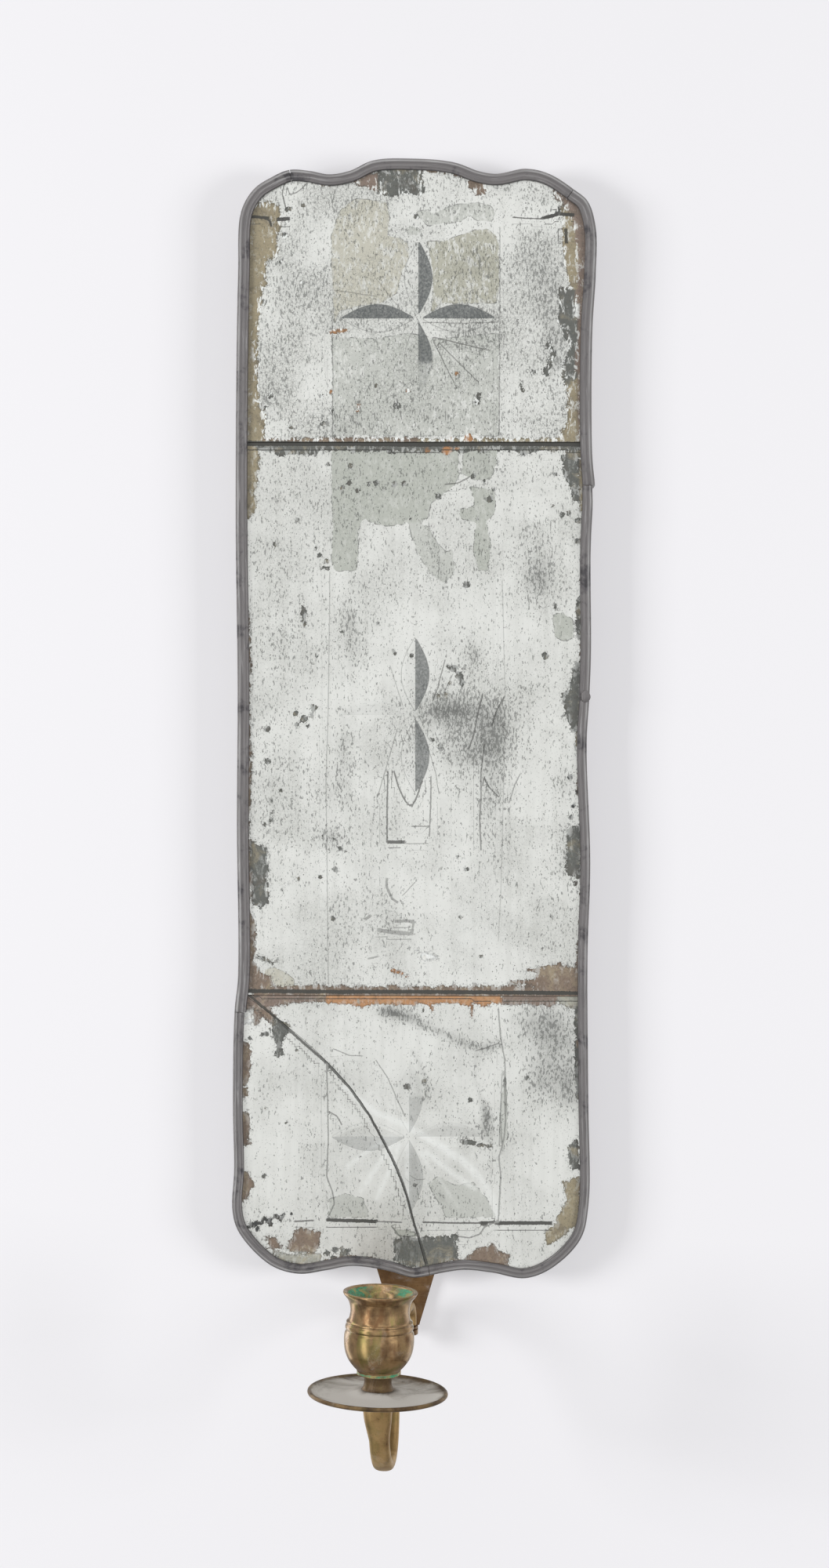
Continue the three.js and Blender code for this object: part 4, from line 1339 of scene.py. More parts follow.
LOWER_HAZES = (
    Blot(Tint.ASH, "640,1400 644,1370 648,1400 648,1450 640,1472 637,1452"),
    Blot(Tint.MIST, "500,1565 512,1568 532,1572 534,1578 520,1580 508,1578"),
    Blot(Tint.ASH, "420,1530 440,1522 462,1528 470,1545 470,1553 418,1553 420,1542"),
    Blot(Tint.ASH, "546,1510 558,1530 570,1553 634,1553 622,1530 604,1508 580,1512 560,1500"),
)
LOWER_LINES = (
    Line(
        3.8,
        0.85,
        "316,1268 353,1299 385,1328 417,1356 446,1387 471,1422 490,1457 506,1489 518,1521 527,1556 "
        "535,1581 545,1612",
    ),
    Line(4.8, 0.95, "417,1556 450,1557 482,1558"),
    Line(2.2, 0.7, "482,1558 512,1559"),
    Line(2.6, 0.75, "376,1558 400,1557"),
    Line(2.6, 0.8, "540,1559 580,1560 612,1560"),
    Line(5.0, 0.96, "612,1560 660,1560 704,1560"),
    Line(2.4, 0.5, "636,1288 639,1324 644,1351 646,1407 644,1448 637,1476 639,1503 636,1555"),
    Line(2.0, 0.4, "641,1369 639,1410 637,1462"),
    Line(2.2, 0.55, "417,1358 418,1400 419,1450 417,1500 424,1520 427,1535 420,1550"),
    Line(2.2, 0.6, "420,1418 430,1424 436,1434"),
    Line(1.7, 0.5, "426,1338 446,1346 462,1347"),
    Line(1.7, 0.5, "480,1353 495,1375 508,1405 517,1424"),
    Line(2.2, 0.55, "499,1563 510,1577 525,1577 534,1576"),
    Line(2.2, 0.55, "584,1577 599,1579 613,1574 618,1565 636,1558"),
    Line(2.0, 0.5, "608,1340 622,1336 636,1331"),
    Line(1.6, 0.4, "524,1500 532,1505 542,1504"),
    Line(5.4, 0.96, "300,1265 430,1266 530,1266 640,1267 760,1268"),
)
LOWER_CLOUDS = (
    Clouds(
        "714,1340,40,74,0.44 682,1305,46,34,0.32 728,1395,16,30,0.34 690,1380,26,26,0.24 "
        "330,1288,30,12,0.3 505,1292,34,12,0.32 622,1430,9,26,0.5 600,1440,30,12,0.2 624,1500,9,34,0.25 "
        "560,1535,60,18,0.22 440,1540,26,14,0.22 360,1556,50,10,0.2"
    ),
    Drift(0.42, 17, "489,1288 524,1300 551,1312 582,1326 606,1336 627,1338 636,1331"),
    Drift(0.3, 11, "608,1348 606,1376 613,1400 622,1427"),
    Drift(0.3, 9, "417,1355 451,1390 482,1412 517,1424 544,1440"),
    Drift(0.34, 9, "526,1340 538,1362 546,1382 544,1405"),
    Drift(-0.7, 12, "440,1386 482,1420 517,1434 544,1450 572,1469 592,1482 613,1503 627,1524 634,1550"),
    Drift(-0.6, 9, "506,1452 480,1490 460,1520"),
    Drift(-0.6, 8, "510,1460 494,1500 480,1530"),
    Drift(-0.6, 8, "500,1448 470,1468 444,1488"),
    Drift(-0.6, 9, "544,1469 575,1495 606,1517"),
    Drift(-0.5, 8, "536,1470 560,1505 585,1540"),
    Drift(-0.5, 10, "521,1460 520,1500 524,1545"),
    Drift(0.2, 9, "546,1476 556,1500 566,1530"),
)
LOWER_WEAR = PaneWear(LOWER_LOSSES, LOWER_HAZES, LOWER_LINES, LOWER_CLOUDS, specks=0.4, crackle=0.22)


# The sconce's sub-assemblies


@dataclass(frozen=True)
class GlassPane:
    """One pane of mirror, cut fine enough to carry its wear on its points."""

    name: str
    node: str
    wear: PaneWear
    star: CutStar
    edge: FrameEdge = FrameEdge()
    pitch: float = 1.25 * MM
    pixels_per_metre: float = 2460.0
    middle_u: float = 529.0
    middle_v: float = 1000.0
    eye_level: float = -34 * MM
    petal_length: float = 39 * MM
    petal_width: float = 14.5 * MM
    petal_hub: float = 1.6 * MM
    came_cover: float = 5.2
    gnawing: float = 7.0
    gnaw_pitch: float = 45.0
    wear_reach: float = 9.0

    def build(self, finish: Material) -> None:
        """Copies the pane's solid, cuts its face into a grid and marks the wear.

        Args:
            finish: The silvered glass.
        """
        bm = solid_copy(self.node)
        low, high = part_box(self.node)
        front = [face for face in bm.faces if face.normal.y < -0.5]
        for axis in (2, 0):
            front = self.slice(bm, front, axis, low[axis], high[axis])
        piece = finish_piece(self.name, bm, finish, smooth=False)
        self.mark(piece)
        seat(piece, "frame", "mirror_glass", self.node)

    def slice(self, bm: BMesh, faces: list, axis: int, low: float, high: float) -> list:
        """Cuts faces into strips across one axis.

        Args:
            bm: The mesh.
            faces: The faces to cut.
            axis: The axis that the strips follow each other on.
            low: The faces' lowest place on it.
            high: Their highest place on it.

        Returns:
            All the faces of the strips.
        """
        normal = Vector((0, 0, 0))
        normal[axis] = 1
        done = []
        rest = faces
        for cut in np.arange(low + self.pitch, high - self.pitch / 4, self.pitch):
            parts = set(rest)
            for face in rest:
                parts.update(face.edges, face.verts)
            plane = {"plane_co": normal * cut, "plane_no": normal}
            made = bmesh.ops.bisect_plane(bm, geom=list(parts), dist=0.01 * MM, **plane)["geom"]
            strips = [item for item in made if isinstance(item, BMFace)]
            rest = [face for face in strips if face.calc_center_median()[axis] > cut]
            ahead = set(rest)
            done += [face for face in strips if face not in ahead]
        return done + rest

    def mark(self, piece: Object) -> None:
        """Works out the wear at each point of the pane.

        Args:
            piece: The pane.
        """
        flat = numbers(piece.data, "position")[:, (0, 2)]
        across = flat[:, 0] * self.pixels_per_metre + self.middle_u
        down = self.middle_v - (flat[:, 1] - self.eye_level) * self.pixels_per_metre
        pixels = np.column_stack([across, down])
        per_mm = self.pixels_per_metre * MM
        loss, loss_tint = self.layer(pixels, self.wear.losses)
        rim = (self.came_cover - self.edge.inset(flat) / MM) * per_mm
        rim += [self.gnawing * noise.noise(Vector((x, 0, z)) * self.gnaw_pitch) - 1.0 for x, z in flat]
        loss_tint[rim > loss] = Tint.UMBER.value
        loss = np.maximum(loss, rim)
        haze, haze_tint = self.layer(pixels, self.wear.hazes)
        smudge = sum((cloud.weight(pixels) for cloud in self.wear.clouds), np.zeros(len(flat)))
        near, side, past, width, ink = self.lines(pixels)
        side = np.where(near > self.wear_reach, self.wear_reach, side)
        density = self.wear.specks * (0.8 + 0.5 * np.clip(1 + loss / 40, 0, 1)) + 0.4 * smudge
        keep(piece, "silver_wear", loss / per_mm, haze / per_mm, smudge)
        keep(piece, "line_wear", side / per_mm, past / per_mm, width / 2 / per_mm)
        keep(piece, "petal_cut", *self.petals(flat))
        keep(piece, "speck_wear", ink, density, np.full(len(flat), self.wear.crackle))
        keep(piece, "loss_tint", loss_tint)
        keep(piece, "haze_tint", haze_tint)

    def layer(self, pixels: np.ndarray, marks: tuple) -> tuple[np.ndarray, np.ndarray]:
        """Finds the nearest of several marks at each point.

        Args:
            pixels: The points, one a row.
            marks: The marks.

        Returns:
            The depth inside it, and its tint.
        """
        depth = np.full(len(pixels), -self.wear_reach)
        tints = np.tile(np.array(Tint.UMBER.value), (len(pixels), 1))
        for mark in marks:
            inside = mark.depth(pixels)
            tints[inside > depth] = mark.tint.value
            depth = np.maximum(inside, depth)
        return np.minimum(depth, self.wear_reach), tints

    def lines(self, pixels: np.ndarray) -> np.ndarray:
        """Finds the nearest drawn line at each point.

        Args:
            pixels: The points, one a row.

        Returns:
            Rows of its distance, the place beside it, the place past its ends, its width and its ink.
        """
        best = np.zeros((5, len(pixels)))
        best[0] = np.inf
        for line in self.wear.lines:
            found = reach_of(pixels, trail(line.path))
            closer = found[0] < best[0]
            best[:3, closer] = [row[closer] for row in found]
            best[3:, closer] = [[line.width], [line.ink]]
        return best

    def petals(self, flat: np.ndarray) -> tuple[np.ndarray, np.ndarray, np.ndarray]:
        """Finds the nearest petal at each point: the upper, right, lower or left one.

        Args:
            flat: The points (x, z), one a row.

        Returns:
            The depth inside it and the place across it in millimetres, and the strength of its painted
            shade.
        """
        offset = flat - np.array(self.star.middle)
        best = np.full(len(flat), -self.wear_reach)
        facet = np.zeros(len(flat))
        shade = np.zeros(len(flat))
        ways = ((1, 1), (0, 1), (1, -1), (0, -1))
        for (axis, way), darkness, fade in zip(ways, self.star.shades, self.star.fades):
            share = (offset[:, axis] * way - self.petal_hub) / self.petal_length
            swell = np.sin(np.pi * np.clip(share, 0, 1)) * self.petal_width / 2
            across = offset[:, 1 - axis] * math.copysign(1, darkness) / MM
            inside = np.where((share > 0) & (share < 1), swell / MM - np.abs(across), -self.wear_reach)
            over = inside > best
            best = np.where(over, inside, best)
            facet = np.where(over, across, facet)
            shade = np.where(over, abs(darkness) * np.clip((fade - share) * 12, 0.25, 1), shade)
        return best, facet, shade


@dataclass(frozen=True)
class Mirror:
    """The four pieces of glass."""

    finish: Material
    joint_height: float = 143 * MM
    half_width: float = 94.5 * MM
    half_height: float = 290.25 * MM

    def star(self, across: float, rise: float, foot: float, top: float, *petals: tuple) -> CutStar:
        """The star on a pane between two heights."""
        return CutStar((across * self.half_width, foot + rise * (top - foot)), *petals)

    def build(self) -> None:
        """Builds each pane."""
        joint, top = self.joint_height, self.half_height
        upper = self.star(0.021, 0.438, joint, top, (0.95, 0.95, 0.92, 0.95), (2, 2, 0.6, 2))
        middle = self.star(0.004, 0.506, -joint, joint, (0.85, 0.04, 0.8, 0.04))
        lower = self.star(-0.03, 0.498, -top, -joint, (0.34, 0.1, 0.36, -0.36), (0.55, 2, 2, 2))
        for pane in (
            GlassPane("upper_mirror", "upper_pane", UPPER_WEAR, upper),
            GlassPane("middle_mirror", "middle_pane", MIDDLE_WEAR, middle),
            GlassPane("lower_left_mirror", "lower_pane_left_shard", LOWER_WEAR, lower),
            GlassPane("lower_right_mirror", "lower_pane_right_shard", LOWER_WEAR, lower),
        ):
            pane.build(self.finish)


@dataclass(frozen=True)
class LeadEdge:
    """The came: six bent lengths of ridged lead, and the solder at one joint, in millimetres."""

    finish: Material
    edge: FrameEdge = FrameEdge()
    setback: float = 1.5
    inside: float = 14.6
    front: float = 16.0
    wall: float = 1.4
    corner: Place = (1.5, 1.6)
    gap: float = 0.3
    crease_angle: float = 50.0
    dent_depth: float = 0.28
    knock_depth: float = 0.5
    buckle_station: float = 17.0
    buckle_reach: float = 7.0
    buckle_spread: float = 0.8
    buckle_lift: float = 0.5
    solder_station: float = 20.0
    solder_radius: float = 2.9
    solder_shape: Point = (0.85, 0.32, 1.1)
    solder_inset: float = 2.2
    nodes: tuple = ("crest", "upper_right", "middle_right", "lower_right", "lower_left", "upper_left")
    faces: tuple = (6.0, 6.2, 5.6, 5.2, 5.2, 6.2)
    ridges: str = "0.34,0 0.4,0.22 0.46,0.3 0.54,0.1 0.64,0 0.74,0.05 0.8,0.28 0.86,0.24 0.93,0.05"
    # Hollows run from below 0 on a ridge, where the finish paints a highlight, to above 0 in a groove,
    # where it paints shade; the hidden points get full painted shade
    hidden_points: int = 5
    hollows: tuple = (0.0, 0.0, -0.4, -0.9, 0.0, 0.3, 0.5, 0.1, -0.4, 0.0, 0.3, 0.4, 0.1, 0.8)

    def section(self, face: float) -> list[Vector]:
        """The came's section as (inward, towards the front, 0), in metres.

        Args:
            face: Width of the front face in millimetres.

        Returns:
            The section's points.
        """
        front, inside, wall = self.front, self.inside, self.wall
        width, height = self.corner
        points = [(0.0, self.setback)]
        points += [(0.0, depth) for depth in np.linspace(4.0, front - 2.4, 5)]
        for turn in np.linspace(0, math.pi / 2, 5)[1:]:
            points.append((width - width * math.cos(turn), front - height + height * math.sin(turn)))
        points += [(share * face, front - drop) for share, drop in trail(self.ridges)]
        points += [(face - 0.1, front - 0.35), (face, front - 0.8), (face, inside)]
        points += [(wall, inside), (wall, 8.0), (wall, self.setback)]
        return [Vector((inward, depth, 0)) * MM for inward, depth in points]

    def places(self, first: int, last: int) -> tuple[list[Matrix], np.ndarray]:
        """The rings of one length of came between two stations.

        Args:
            first: Its first station.
            last: Its last station.

        Returns:
            A matrix for each ring, and the length run up to each in metres.
        """
        stations = np.linspace(first, last, (last - first) * self.edge.steps + 1)
        line = self.edge.line(stations)
        way = self.edge.line(stations + 1e-3) - self.edge.line(stations - 1e-3)
        way /= np.hypot(way[:, 0], way[:, 1])[:, None]
        line[0] += way[0] * self.gap / 2 * MM
        line[-1] -= way[-1] * self.gap / 2 * MM
        rings = []
        for (x, z), (along_x, along_z) in zip(line, way):
            inward = Vector((along_z, 0, -along_x))
            axes = Matrix((inward, Vector((0, -1, 0)), Vector((along_x, 0, along_z)))).transposed()
            rings.append(Matrix.Translation((x, 0, z)) @ axes.to_4x4())
        return rings, run_along(line)

    def dent(self, piece: Object) -> None:
        """Presses slow dents and small knocks into the front of a length.

        Args:
            piece: The length of lead.
        """
        for vert in piece.data.vertices:
            place = vert.co
            share = min(max((-place.y / MM - 6) / 8, 0), 1)
            broad = noise.noise(place * 60) + 0.45 * noise.noise(place * 190)
            knock = max(noise.noise(place * 110 + Vector((7, 3, 1))) - 0.35, 0) * 2.2
            vert.co.y += (broad * self.dent_depth + knock * self.knock_depth) * share * MM

    def buckle(self, piece: Object) -> None:
        """Springs the sides of the lead where two lengths meet badly on the right.

        Args:
            piece: The length of lead.
        """
        x, z = self.edge.line(np.array([self.buckle_station]))[0]
        for vert in piece.data.vertices:
            away = math.hypot(vert.co.x - x, vert.co.z - z) / MM
            spring = bell(away, 0, self.buckle_reach) * MM
            vert.co.x += spring * (1 if vert.co.z > z else -0.7) * self.buckle_spread
            vert.co.y += spring * self.buckle_lift

    def build(self) -> None:
        """Builds the six lengths and the solder."""
        first = 0
        for side, face, run in zip(self.nodes, self.faces, EDGE_RUNS):
            last = first + len(trail(run))
            rings, lengths = self.places(first, last)
            section = self.section(face)
            piece = finish_piece(f"{side}_came_lead", swept(section, rings, "strip_steps"), self.finish)
            self.lay_strip(piece, section, lengths)
            self.dent(piece)
            self.buckle(piece)
            sharpen(piece, self.crease_angle)
            seat(piece, "frame", "lead", f"{side}_came")
            first = last
        self.solder()

    def lay_strip(self, piece: Object, section: list[Vector], lengths: np.ndarray) -> None:
        """Writes each point's place along and across the lead, in metres, and how hollow it lies, from
        which the finish paints highlight and shade.

        Args:
            piece: The length of lead.
            section: Its section.
            lengths: The length run up to each of its rings.
        """
        ring, point, _ = numbers(piece.data, "strip_steps").round().astype(int).T
        girth = run_along(np.array(section))
        outside = len(section) - len(self.hollows) - self.hidden_points
        hollow = np.array((0,) * outside + self.hollows + (1,) * self.hidden_points)[point]
        keep(piece, "strip", lengths[ring], girth[point], np.zeros(len(ring)))
        keep(piece, "hollow", hollow, hollow, hollow)
        piece.data.attributes.remove(piece.data.attributes["strip_steps"])

    def solder(self) -> None:
        """Sets a flat drop of solder over the joint at the middle of the right side."""
        x, z = self.edge.line(np.array([self.solder_station]))[0]
        bm = bmesh.new()
        bmesh.ops.create_uvsphere(bm, u_segments=28, v_segments=16, radius=self.solder_radius * MM)
        bmesh.ops.scale(bm, vec=self.solder_shape, verts=bm.verts)
        middle = (x - self.solder_inset * MM, -(self.front + 0.15) * MM, z)
        bmesh.ops.translate(bm, vec=middle, verts=bm.verts)
        for vert in bm.verts:
            vert.co += vert.normal * noise.noise(vert.co * 420) * 0.35 * MM
        piece = finish_piece("came_solder", bm, self.finish)
        keep(piece, "strip", numbers(piece.data, "position")[:, (2, 0, 1)])
        seat(piece, "frame", "lead")


@dataclass(frozen=True)
class CandleArm:
    """The swung arm with its pan, neck and nozzle, in millimetres from the eye it hangs in."""

    effects: SharedEffects
    offset: float = -4.2
    eye_depth: float = -12.0
    eye_top: float = -317.05
    swing: float = 7.75
    lean: float = 1.6
    shoulder: float = 1.8
    reach: float = 100.0
    drop: float = 50.3
    end_drop: float = 10.5
    thickness: float = 6.4
    head_width: float = 15.2
    head_thickness: float = 11.0
    seat_thickness: float = 2.5
    pin_radius: float = 3.0
    pin_foot: float = -7.5
    gap: float = 0.3
    tenon_radius: float = 3.0
    tenon_length: float = 15.0
    washer_radius: float = 5.6
    washer_thickness: float = 1.2
    pan_radius: float = 33.7
    pan_thickness: float = 1.6
    pan_dish: float = 1.7
    pan_rim_fall: float = 0.25
    pan_rim_height: float = 2.1
    neck_radius: float = 7.0
    neck_height: float = 6.9
    nozzle_radius: float = 16.8
    nozzle_height: float = 39.5
    bore_radius: float = 11.4
    bore_depth: float = 28.0
    rings: int = 120
    sides: int = 28
    turned_sides: int = 112
    crease_angle: float = 42.0
    voxel: float = 0.5
    bareness: float = 0.25
    line_shares: str = (
        "0,0 0,0.12 0.04,0.21 0.12,0.25 0.22,0.22 0.33,0.12 0.44,-0.06 0.52,-0.3 0.57,-0.56 0.63,-0.83 "
        "0.71,-0.98 0.81,-0.99 0.9,-0.85 0.96,-0.61 0.995,-0.4"
    )
    width_places: tuple = (0, 0.12, 0.35, 0.62, 0.86, 0.93, 1)
    widths: tuple = (10.5, 10.5, 8.0, 10.0, 10.0, 13.4, 15.2)
    pan_shares: str = "0.25,0 0.34,0.4 0.45,0.85 0.6,1 0.78,0.95 0.9,0.65"
    neck_shares: str = "1.14,0 1.02,0.15 0.94,0.45 0.95,0.75 1,1"
    nozzle_shares: str = (
        "0.61,0 0.62,0.05 0.71,0.09 0.86,0.17 0.955,0.26 1,0.37 0.99,0.5 0.95,0.538 0.972,0.558 "
        "0.97,0.592 0.938,0.617 0.95,0.637 0.895,0.662 0.868,0.69 0.842,0.76 0.85,0.8 0.868,0.84 "
        "0.915,0.895 1.06,0.98 1.055,1 0.98,1 0.84,0.95"
    )

    def arm_place(self) -> Matrix:
        """Where the arm's own frame lies."""
        turn = Matrix.Rotation(math.radians(-self.swing), 4, "Z")
        return Matrix.Translation(Vector((self.offset, self.eye_depth, self.eye_top)) * MM) @ turn

    def head_place(self) -> Matrix:
        """Where the seat of the pan lies."""
        step = Matrix.Translation(Vector((0, -self.reach, self.shoulder - self.end_drop)) * MM)
        return self.arm_place() @ step @ Matrix.Rotation(math.radians(self.lean), 4, "Y")

    def centre_line(self) -> np.ndarray:
        """Even steps along the arm's centre line.

        Returns:
            One (outward, up) place in millimetres for each ring.
        """
        points = trail(self.line_shares) * (self.reach, self.drop) + (0, self.shoulder)
        end = (self.reach, self.shoulder - self.end_drop - self.seat_thickness / 2)
        points = np.vstack([points, end])
        fine = catmull(points, np.linspace(0, len(points) - 1, self.rings * 8), closed=False)
        run = run_along(fine)
        even = np.linspace(0, run[-1], self.rings)
        return np.column_stack([np.interp(even, run, fine[:, k]) for k in (0, 1)])

    def limb(self) -> BMesh:
        """The bent arm as one swept solid.

        Returns:
            The solid, in the arm's own frame.
        """
        line = self.centre_line()
        way = np.gradient(line, axis=0)
        way /= np.hypot(way[:, 0], way[:, 1])[:, None]
        share = np.linspace(0, 1, len(line))
        widths = np.interp(share, self.width_places, self.widths)
        thicknesses = np.interp(share, (self.width_places[-3], 1), (self.thickness, self.head_thickness))
        rings = []
        for (out, rise), (way_out, way_up), width, thick in zip(line, way, widths, thicknesses):
            across = Vector((1, 0, 0)) * width / 2
            through = Vector((0, way_up, way_out)) * thick / 2
            axes = Matrix((across, through, Vector((0, -way_out, way_up)))).transposed().to_4x4()
            rings.append(Matrix.Scale(MM, 4) @ Matrix.Translation((0, -out, rise)) @ axes)
        section = []
        for step in range(self.sides):
            angle = math.tau * step / self.sides
            sides = [math.copysign(abs(side) ** 0.8, side) for side in (math.cos(angle), math.sin(angle))]
            section.append(Vector((*sides, 0)))
        return swept(section, rings)

    def bar(self, radii: Place, foot: float, top: float, edge: float, sides: int = 40) -> BMesh:
        """A round bar or a ring with chamfered ends.

        Args:
            radii: Its inner radius, which is 0 in a bar, and its outer one.
            foot: Height of its lower end.
            top: Height of its upper end.
            edge: Width of the chamfers.
            sides: How many sides it has.

        Returns:
            The solid.
        """
        inner, outer = radii
        points = [(inner, foot), (outer - edge, foot), (outer, foot + edge)]
        points += [(outer, top - edge), (outer - edge, top), (inner, top)]
        return spun(np.array(points) * MM, sides, closed=inner > 0)

    def cast_arm(self) -> None:
        """Runs the arm, its pin, its seat and its tenon together as one casting."""
        top = self.shoulder + self.thickness / 2
        pin = self.bar((0, self.pin_radius), self.pin_foot, top, self.gap)
        pad = self.bar((0, self.head_width / 2), -self.seat_thickness, 0, 0.4)
        tenon = self.bar((0, self.tenon_radius), -1.0, self.tenon_length, self.gap)
        to_head = self.arm_place().inverted() @ self.head_place()
        for part in (pad, tenon):
            bmesh.ops.transform(part, matrix=to_head, verts=part.verts)
        whole = bmesh.new()
        for part in (self.limb(), pin, pad, tenon):
            shell = bpy.data.meshes.new("arm_part")
            part.to_mesh(shell)
            part.free()
            whole.from_mesh(shell)
            bpy.data.meshes.remove(shell)
        finish = BrassFinish(self.effects, BrassKind.CAST).dress()
        rough = finish_piece("arm_blank", whole, finish)
        remesh = rough.modifiers.new("cast", "REMESH")
        remesh.mode = "VOXEL"
        remesh.voxel_size = self.voxel * MM
        baked = bpy.data.meshes.new_from_object(rough.evaluated_get(bpy.context.evaluated_depsgraph_get()))
        bpy.data.objects.remove(rough)
        bm = bmesh.new()
        bm.from_mesh(baked)
        bpy.data.meshes.remove(baked)
        for _ in range(3):
            bmesh.ops.smooth_vert(
                bm, verts=bm.verts, factor=0.5, use_axis_x=True, use_axis_y=True, use_axis_z=True
            )
        bmesh.ops.transform(bm, matrix=self.arm_place(), verts=bm.verts)
        piece = finish_piece("swing_arm", bm, finish)
        even_patina(piece, 0.0, self.bareness)
        seat(piece, "arm", "brass", "candle_arm")

    def turned(
        self, name: str, node: str, profile: list, kind: BrassKind, patina: Callable, closed: bool = True
    ) -> None:
        """Turns one piece of the head and lays its patina.

        Args:
            name: The piece's name.
            node: The node it replaces.
            profile: Its (radius, height) points in millimetres above the seat.
            kind: Its brass.
            patina: Gives bloom, crest and film from the points' radii and places in millimetres.
            closed: Whether its profile closes on itself.
        """
        bm = spun([(radius * MM, height * MM) for radius, height in profile], self.turned_sides, closed)
        piece = finish_piece(name, bm, BrassFinish(self.effects, kind).dress())
        points = numbers(piece.data, "position") / MM
        keep(piece, "patina", *patina(np.hypot(points[:, 0], points[:, 1]), points))
        piece.data.transform(self.head_place())
        sharpen(piece, self.crease_angle)
        seat(piece, "arm", "brass", node)

    def curve(self, points: Sequence[Place], fine: int = 5) -> list[Place]:
        """Rounds a row of profile points.

        Args:
            points: The (radius, height) points.
            fine: How many steps lie between two of them.

        Returns:
            The rounded row.
        """
        stations = np.linspace(0, len(points) - 1, (len(points) - 1) * fine + 1)
        return [tuple(point) for point in catmull(np.array(points, float), stations, closed=False)]

    def build(self) -> None:
        """Builds the washer, the arm and the three turned pieces."""
        radii = (self.pin_radius + self.gap, self.washer_radius)
        bm = self.bar(radii, self.gap, self.gap + self.washer_thickness, 0.3, sides=48)
        bmesh.ops.transform(bm, matrix=self.arm_place(), verts=bm.verts)
        washer = finish_piece("arm_washer", bm, BrassFinish(self.effects, BrassKind.PLATE).dress())
        even_patina(washer, 0.1, 0.3)
        sharpen(washer, self.crease_angle)
        seat(washer, "washer", "brass", "pivot_washer")
        self.cast_arm()

        hole = self.tenon_radius + self.gap
        top = self.gap + self.pan_thickness
        pan = self.pan_profile(hole, top)
        self.turned("drip_tray", "drip_pan", pan, BrassKind.PAN, self.pan_patina)

        foot = top + self.gap
        neck = self.curve(trail(self.neck_shares) * (self.neck_radius, self.neck_height) + (0, foot))
        neck = [(hole, foot)] + neck + [(hole, foot + self.neck_height)]
        self.turned("turned_neck", "neck_collar", neck, BrassKind.PAN, self.neck_patina)

        foot += self.neck_height + self.gap
        cup = self.cup_profile(hole, foot)
        self.turned("candle_cup", "candle_nozzle", cup, BrassKind.NOZZLE, self.cup_patina, closed=False)

    def pan_profile(self, hole: float, top: float) -> list[Place]:
        """The dished pan with its rolled rim.

        Args:
            hole: Radius of its hole.
            top: Height of its top at the hole.

        Returns:
            The profile.
        """
        shares = trail(self.pan_shares)
        dish = [(radius * self.pan_radius, top - depth * self.pan_dish) for radius, depth in shares]
        crest = top - self.pan_rim_fall
        bead = self.pan_rim_height / 2
        rim = []
        for turn in np.linspace(-math.pi / 2, math.pi / 2, 9):
            out, up = math.cos(turn) - 1, math.sin(turn) - 1
            rim.append((self.pan_radius + bead * out, crest + bead * up))
        under = [(hole, self.gap)] + [(radius, height - self.pan_thickness) for radius, height in dish]
        over = [(self.pan_radius - bead * 2.2, crest - bead * 0.7)] + dish[::-1] + [(hole, top)]
        return self.curve(under) + rim + self.curve(over)

    def cup_profile(self, hole: float, foot: float) -> list[Place]:
        """The nozzle: its belly, rings, waist and lip, and the bore inside.

        Args:
            hole: Radius of the hole for the tenon.
            foot: Height of its foot.

        Returns:
            The profile.
        """
        bore, height, length = self.bore_radius, self.nozzle_height, self.tenon_length + self.gap
        outside = self.curve(trail(self.nozzle_shares) * (self.nozzle_radius, height) + (0, foot), 4)
        floor = foot + height - self.bore_depth
        mouth = foot + height * 0.85
        lip = self.curve([outside[-1], (bore + 0.9, mouth + 2.4), (bore, mouth)])
        bowl = [(bore, floor + 1.5), (bore - 0.44, floor + 0.44), (bore - 1.5, floor), (0, floor)]
        return [(0, length), (hole, length), (hole, foot)] + outside + lip[1:] + bowl

    def pan_patina(self, radii: np.ndarray, points: np.ndarray) -> tuple[np.ndarray, ...]:
        """Wax film inside the pan, worn metal on its rim and green round the foot.

        Args:
            radii: Distances from the middle, in millimetres.
            points: The points in millimetres, one a row.

        Returns:
            The bloom, the crest and the film.
        """
        on_top = (points[:, 2] > 0.1) & (radii < self.pan_radius - 2.2)
        film = np.clip(0.84 - 0.5 * points[:, 1] / self.pan_radius, 0.1, 1)
        film -= 0.5 * bell(radii, self.pan_radius, 3.4) + 0.4 * bell(radii, 8, 3)
        crest = np.where(radii > self.pan_radius - 1.2, 0.35, 0.0)
        return np.where(on_top, 0.25 * bell(radii, 8, 2), 0), crest, np.where(on_top, film, 0)

    def neck_patina(self, radii: np.ndarray, points: np.ndarray) -> tuple[np.ndarray, ...]:
        """Green at the top of the neck."""
        return 0.4 * bell(points[:, 2], 9.1, 0.8), np.full(len(radii), 0.05), np.zeros(len(radii))

    def cup_patina(self, radii: np.ndarray, points: np.ndarray) -> tuple[np.ndarray, ...]:
        """Green inside the mouth, in the grooves and on the foot, gold on the swells.

        Args:
            radii: Distances from the middle, in millimetres.
            points: The points in millimetres, one a row.

        Returns:
            The bloom, the crest and the film.
        """
        sides, depths, heights = points.T
        foot = self.gap * 3 + self.pan_thickness + self.neck_height
        share = (heights - foot) / self.nozzle_height
        greens = "0.02,0.03,0.7 0.538,0.01,0.42 0.617,0.01,0.42 0.65,0.02,0.42"
        swells = "0.36,0.12,0.7 0.9,0.05,0.6 0.575,0.02,0.8"
        bloom, crest = (
            np.max([bell(share, place, spread) * level for place, spread, level in trail(marks)], axis=0)
            for marks in (greens, swells)
        )
        slope = self.nozzle_radius * np.where(share > 0.93, 0.84 + (share - 0.95) * 1.8, 0.81) + 0.35
        inner = (radii < slope) & (share > 0.84) | (radii < self.bore_radius + 0.05) & (share > 0.2)
        middle = np.where(inner & (depths > 0), bell(sides, 0, 9.0), 0.0)
        return np.where(inner, 1.0 - 0.62 * middle, bloom), np.where(inner, 0.0, crest), 0.12 * middle


